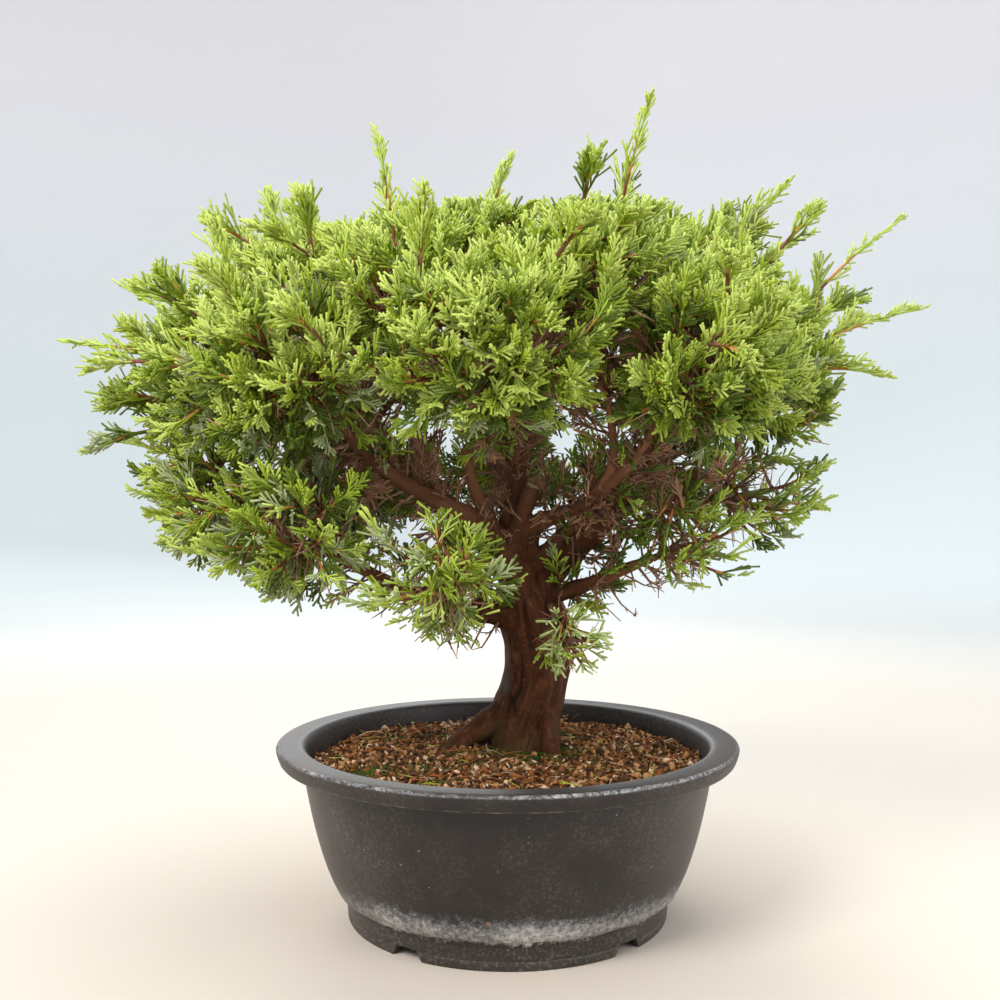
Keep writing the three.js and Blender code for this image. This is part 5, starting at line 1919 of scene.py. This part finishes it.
def make_leaves(settings):
    """The leaf cords of every mass, joined into a few pieces"""
    materials = leaf_materials(settings)
    for piece_name, names in LEAF_REGIONS.items():
        shells, kinds = [], []
        for key, rings in (("stems", STEM_RINGS), ("cords", TIP_RINGS)):
            sets = [crown()[name][key] for name in names]
            if piece_name == SPRIG_REGION:
                sets.append(sprigs()[key])
            cords = gather(sets)
            shells.append(leaf_cords(cords, rings))
            kinds.append(np.repeat(cord_kinds(cords), len(cord_faces(len(rings)))))
        points, faces = joined(shells)
        leaves = new_piece(piece_name, points, faces, materials, np.concatenate(kinds))
        finish_piece(leaves, "leaf", *("foliage_" + name for name in names))


def tube_kinds(count, shown):
    """The material of each face of a set of tubes, one kind for each step"""
    per_step = np.repeat(shown, 2 * TUBE_SIDES)
    return np.tile(np.concatenate((per_step, [shown[0]], [shown[-1]])), count)


def side_twiglets(chance, twigs, shares, lengths, keep, stray):
    """One twiglet that leaves each twig"""
    arcs = arcs_of(twigs)
    share = chance.uniform(*shares, len(arcs[0]))[:, None]
    root, heading = arc_point(arcs, share), arc_heading(arcs, share)
    way = unit(heading * keep + chance.normal(size=root.shape) * stray)
    length = chance.uniform(*lengths, len(root))[:, None]
    return swayed(root, way, length, chance.normal(0, 0.16, root.shape) * length)


@functools.cache
def limb_twiglets():
    """Twiglets that stand on the boughs and limbs: the green ones, the dead ones, and the forks of each"""
    chance = np.random.default_rng(55)
    sets = []
    for limb in tree()[1].values():
        count = round(limb.length / 2)
        shares = chance.uniform(0.12, 1.0, count)
        root, heading = smooth_curve(limb.points, shares * 0.999)
        first, second = beside(heading)
        turn = chance.uniform(0, 2 * math.pi, count)[:, None]
        way = unit(heading * 0.5 + first * np.cos(turn) + second * np.sin(turn) + UP * 0.1)
        reach = chance.uniform(9, 32, count)[:, None]
        sets.append(swayed(root, way, reach, chance.normal(0, 0.14, (count, 3)) * reach))
    twiglets = gather(sets)
    green = chance.uniform(size=len(twiglets["end"])) < 0.28
    rows = {"green": pick(twiglets, green), "dead": pick(twiglets, ~green)}
    for kind in ("green", "dead"):
        rows[kind + "_forks"] = gather(
            [side_twiglets(chance, rows[kind], **FORKS_ON_TWIGLETS) for _ in range(3)]
        )
    return rows


@functools.cache
def sprigs():
    """The leaf cords on the green twiglets"""
    width = bpy.context.scene.juniper_crown.cord / MM
    chance = np.random.default_rng(56)
    plumes = dict(limb_twiglets()["green"])
    tone_plumes(chance, {**USUAL_HABIT, "light": 0.06}, plumes)
    stems, cords = spray_cords(chance, plume_sprays(chance, plumes, 4, **SPRIG_SPRAYS), width, 4)
    return {"stems": stems, "cords": cords}


def stem_parts(mass):
    """A mass's stem as a row of short arcs, each with its radius at both ends"""
    places, _ = smooth_curve(mass["stem"], np.linspace(0, 1, 9))
    for k in range(0, 8, 2):
        start, middle, end = places[k:k + 3, None]
        base, tip = mix(mass["stem_radius"], STEM_TIP, np.array((k, k + 2)) / 8)
        yield (start, 2 * middle - (start + end) / 2, end), base, tip


def make_twigs():
    """The twigs and plume stems, brown inside, orange where young, green at the tips"""
    shells, kinds = [], []

    def add(arc, base, tip, shown):
        """Adds tubes along arcs, with a finish for each step"""
        count = len(arc[0])
        shells.append(arc_tubes(arc, np.broadcast_to(base, count), np.broadcast_to(tip, count), len(shown)))
        kinds.append(tube_kinds(count, shown))

    chance = np.random.default_rng(77)
    for mass in crown().values():
        for arc, base, tip in stem_parts(mass):
            add(arc, base, tip, (OLD, OLD))
        for key, (base, tip, shown) in MASS_TUBES.items():
            if len(mass[key]["start"]):
                add(arcs_of(mass[key]), base, tip, shown)
        for _ in range(6):
            twiglets = side_twiglets(chance, mass["twigs"], **DEAD_ON_TWIGS)
            add(arcs_of(twiglets), *DEAD_TWIGLET, (WITHERED, WITHERED))
    for kind, rows in limb_twiglets().items():
        base = 0.5 if "forks" in kind else chance.uniform(0.6, 1.1, len(rows["start"]))
        add(arcs_of(rows), base, base * 0.5, (WITHERED, WITHERED) if "dead" in kind else (OLD, RED))
    points, faces = joined(shells)
    materials = [patchy_finish(name, *colours, 0.75, 0.3, 260, 900, 0.6)
                 for name, colours in TWIG_FINISHES.items()]
    finish_piece(new_piece("twigs", points, faces, materials, np.concatenate(kinds)), "bark")


# The add-on


class JUNIPER_OT_stage(bpy.types.Operator):
    """Makes the floor, the lights and the camera"""

    bl_idname = "juniper.stage"
    bl_label = "Stage"

    def execute(self, context):
        make_floor(context.scene.juniper_stage)
        make_lights()
        make_camera(context.scene.juniper_stage)
        return {"FINISHED"}


class JUNIPER_OT_pot(bpy.types.Operator):
    """Makes the training pot"""

    bl_idname = "juniper.pot"
    bl_label = "Pot"

    def execute(self, context):
        make_pot(context.scene.juniper_pot)
        return {"FINISHED"}


class JUNIPER_OT_soil(bpy.types.Operator):
    """Makes the soil bed, its grains, the moss and the litter"""

    bl_idname = "juniper.soil"
    bl_label = "Soil"

    def execute(self, context):
        make_soil(context.scene.juniper_soil)
        return {"FINISHED"}


class JUNIPER_OT_bark(bpy.types.Operator):
    """Makes the bark of the trunk, the boughs and the limbs"""

    bl_idname = "juniper.bark"
    bl_label = "Bark"

    def execute(self, context):
        make_bark(context.scene.juniper_bark)
        return {"FINISHED"}


class JUNIPER_OT_twigs(bpy.types.Operator):
    """Makes the twigs of every mass"""

    bl_idname = "juniper.twigs"
    bl_label = "Twigs"

    def execute(self, context):
        make_twigs()
        return {"FINISHED"}


class JUNIPER_OT_leaves(bpy.types.Operator):
    """Makes the scaly leaves of every mass"""

    bl_idname = "juniper.leaves"
    bl_label = "Leaves"

    def execute(self, context):
        make_leaves(context.scene.juniper_crown)
        return {"FINISHED"}


class JUNIPER_PT_pieces(bpy.types.Panel):
    """Lists the pieces and their sizes and colours"""

    bl_idname = "JUNIPER_PT_pieces"
    bl_label = "Juniper"
    bl_space_type = "VIEW_3D"
    bl_region_type = "UI"
    bl_category = "Juniper"

    def draw(self, context):
        for operator, settings in PANEL_ROWS:
            box = self.layout.box()
            box.operator(operator)
            group = getattr(context.scene, settings)
            for key in type(group).__annotations__:
                box.prop(group, key)


# The panel's buttons, each with the settings shown under it
PANEL_ROWS = (
    ("juniper.stage", "juniper_stage"),
    ("juniper.pot", "juniper_pot"),
    ("juniper.soil", "juniper_soil"),
    ("juniper.bark", "juniper_bark"),
    ("juniper.twigs", "juniper_crown"),
    ("juniper.leaves", "juniper_crown"),
)
SETTINGS = {
    "juniper_pot": PotSettings,
    "juniper_soil": SoilSettings,
    "juniper_bark": BarkSettings,
    "juniper_crown": CrownSettings,
    "juniper_stage": StageSettings,
}
CLASSES = (
    *SETTINGS.values(), JUNIPER_OT_stage, JUNIPER_OT_pot, JUNIPER_OT_soil, JUNIPER_OT_bark,
    JUNIPER_OT_twigs, JUNIPER_OT_leaves, JUNIPER_PT_pieces,
)


def register():
    """Registers the settings, the operators and the panel"""
    for made in CLASSES:
        bpy.utils.register_class(made)
    for name, group in SETTINGS.items():
        setattr(bpy.types.Scene, name, PointerProperty(type=group))


def unregister():
    """Takes the settings, the operators and the panel away again"""
    for name in SETTINGS:
        delattr(bpy.types.Scene, name)
    for made in reversed(CLASSES):
        bpy.utils.unregister_class(made)


def main():
    """Makes every piece in order"""
    register()
    bpy.ops.juniper.stage()
    bpy.ops.juniper.pot()
    bpy.ops.juniper.soil()
    bpy.ops.juniper.bark()
    bpy.ops.juniper.twigs()
    bpy.ops.juniper.leaves()


if __name__ == "__main__":
    main()
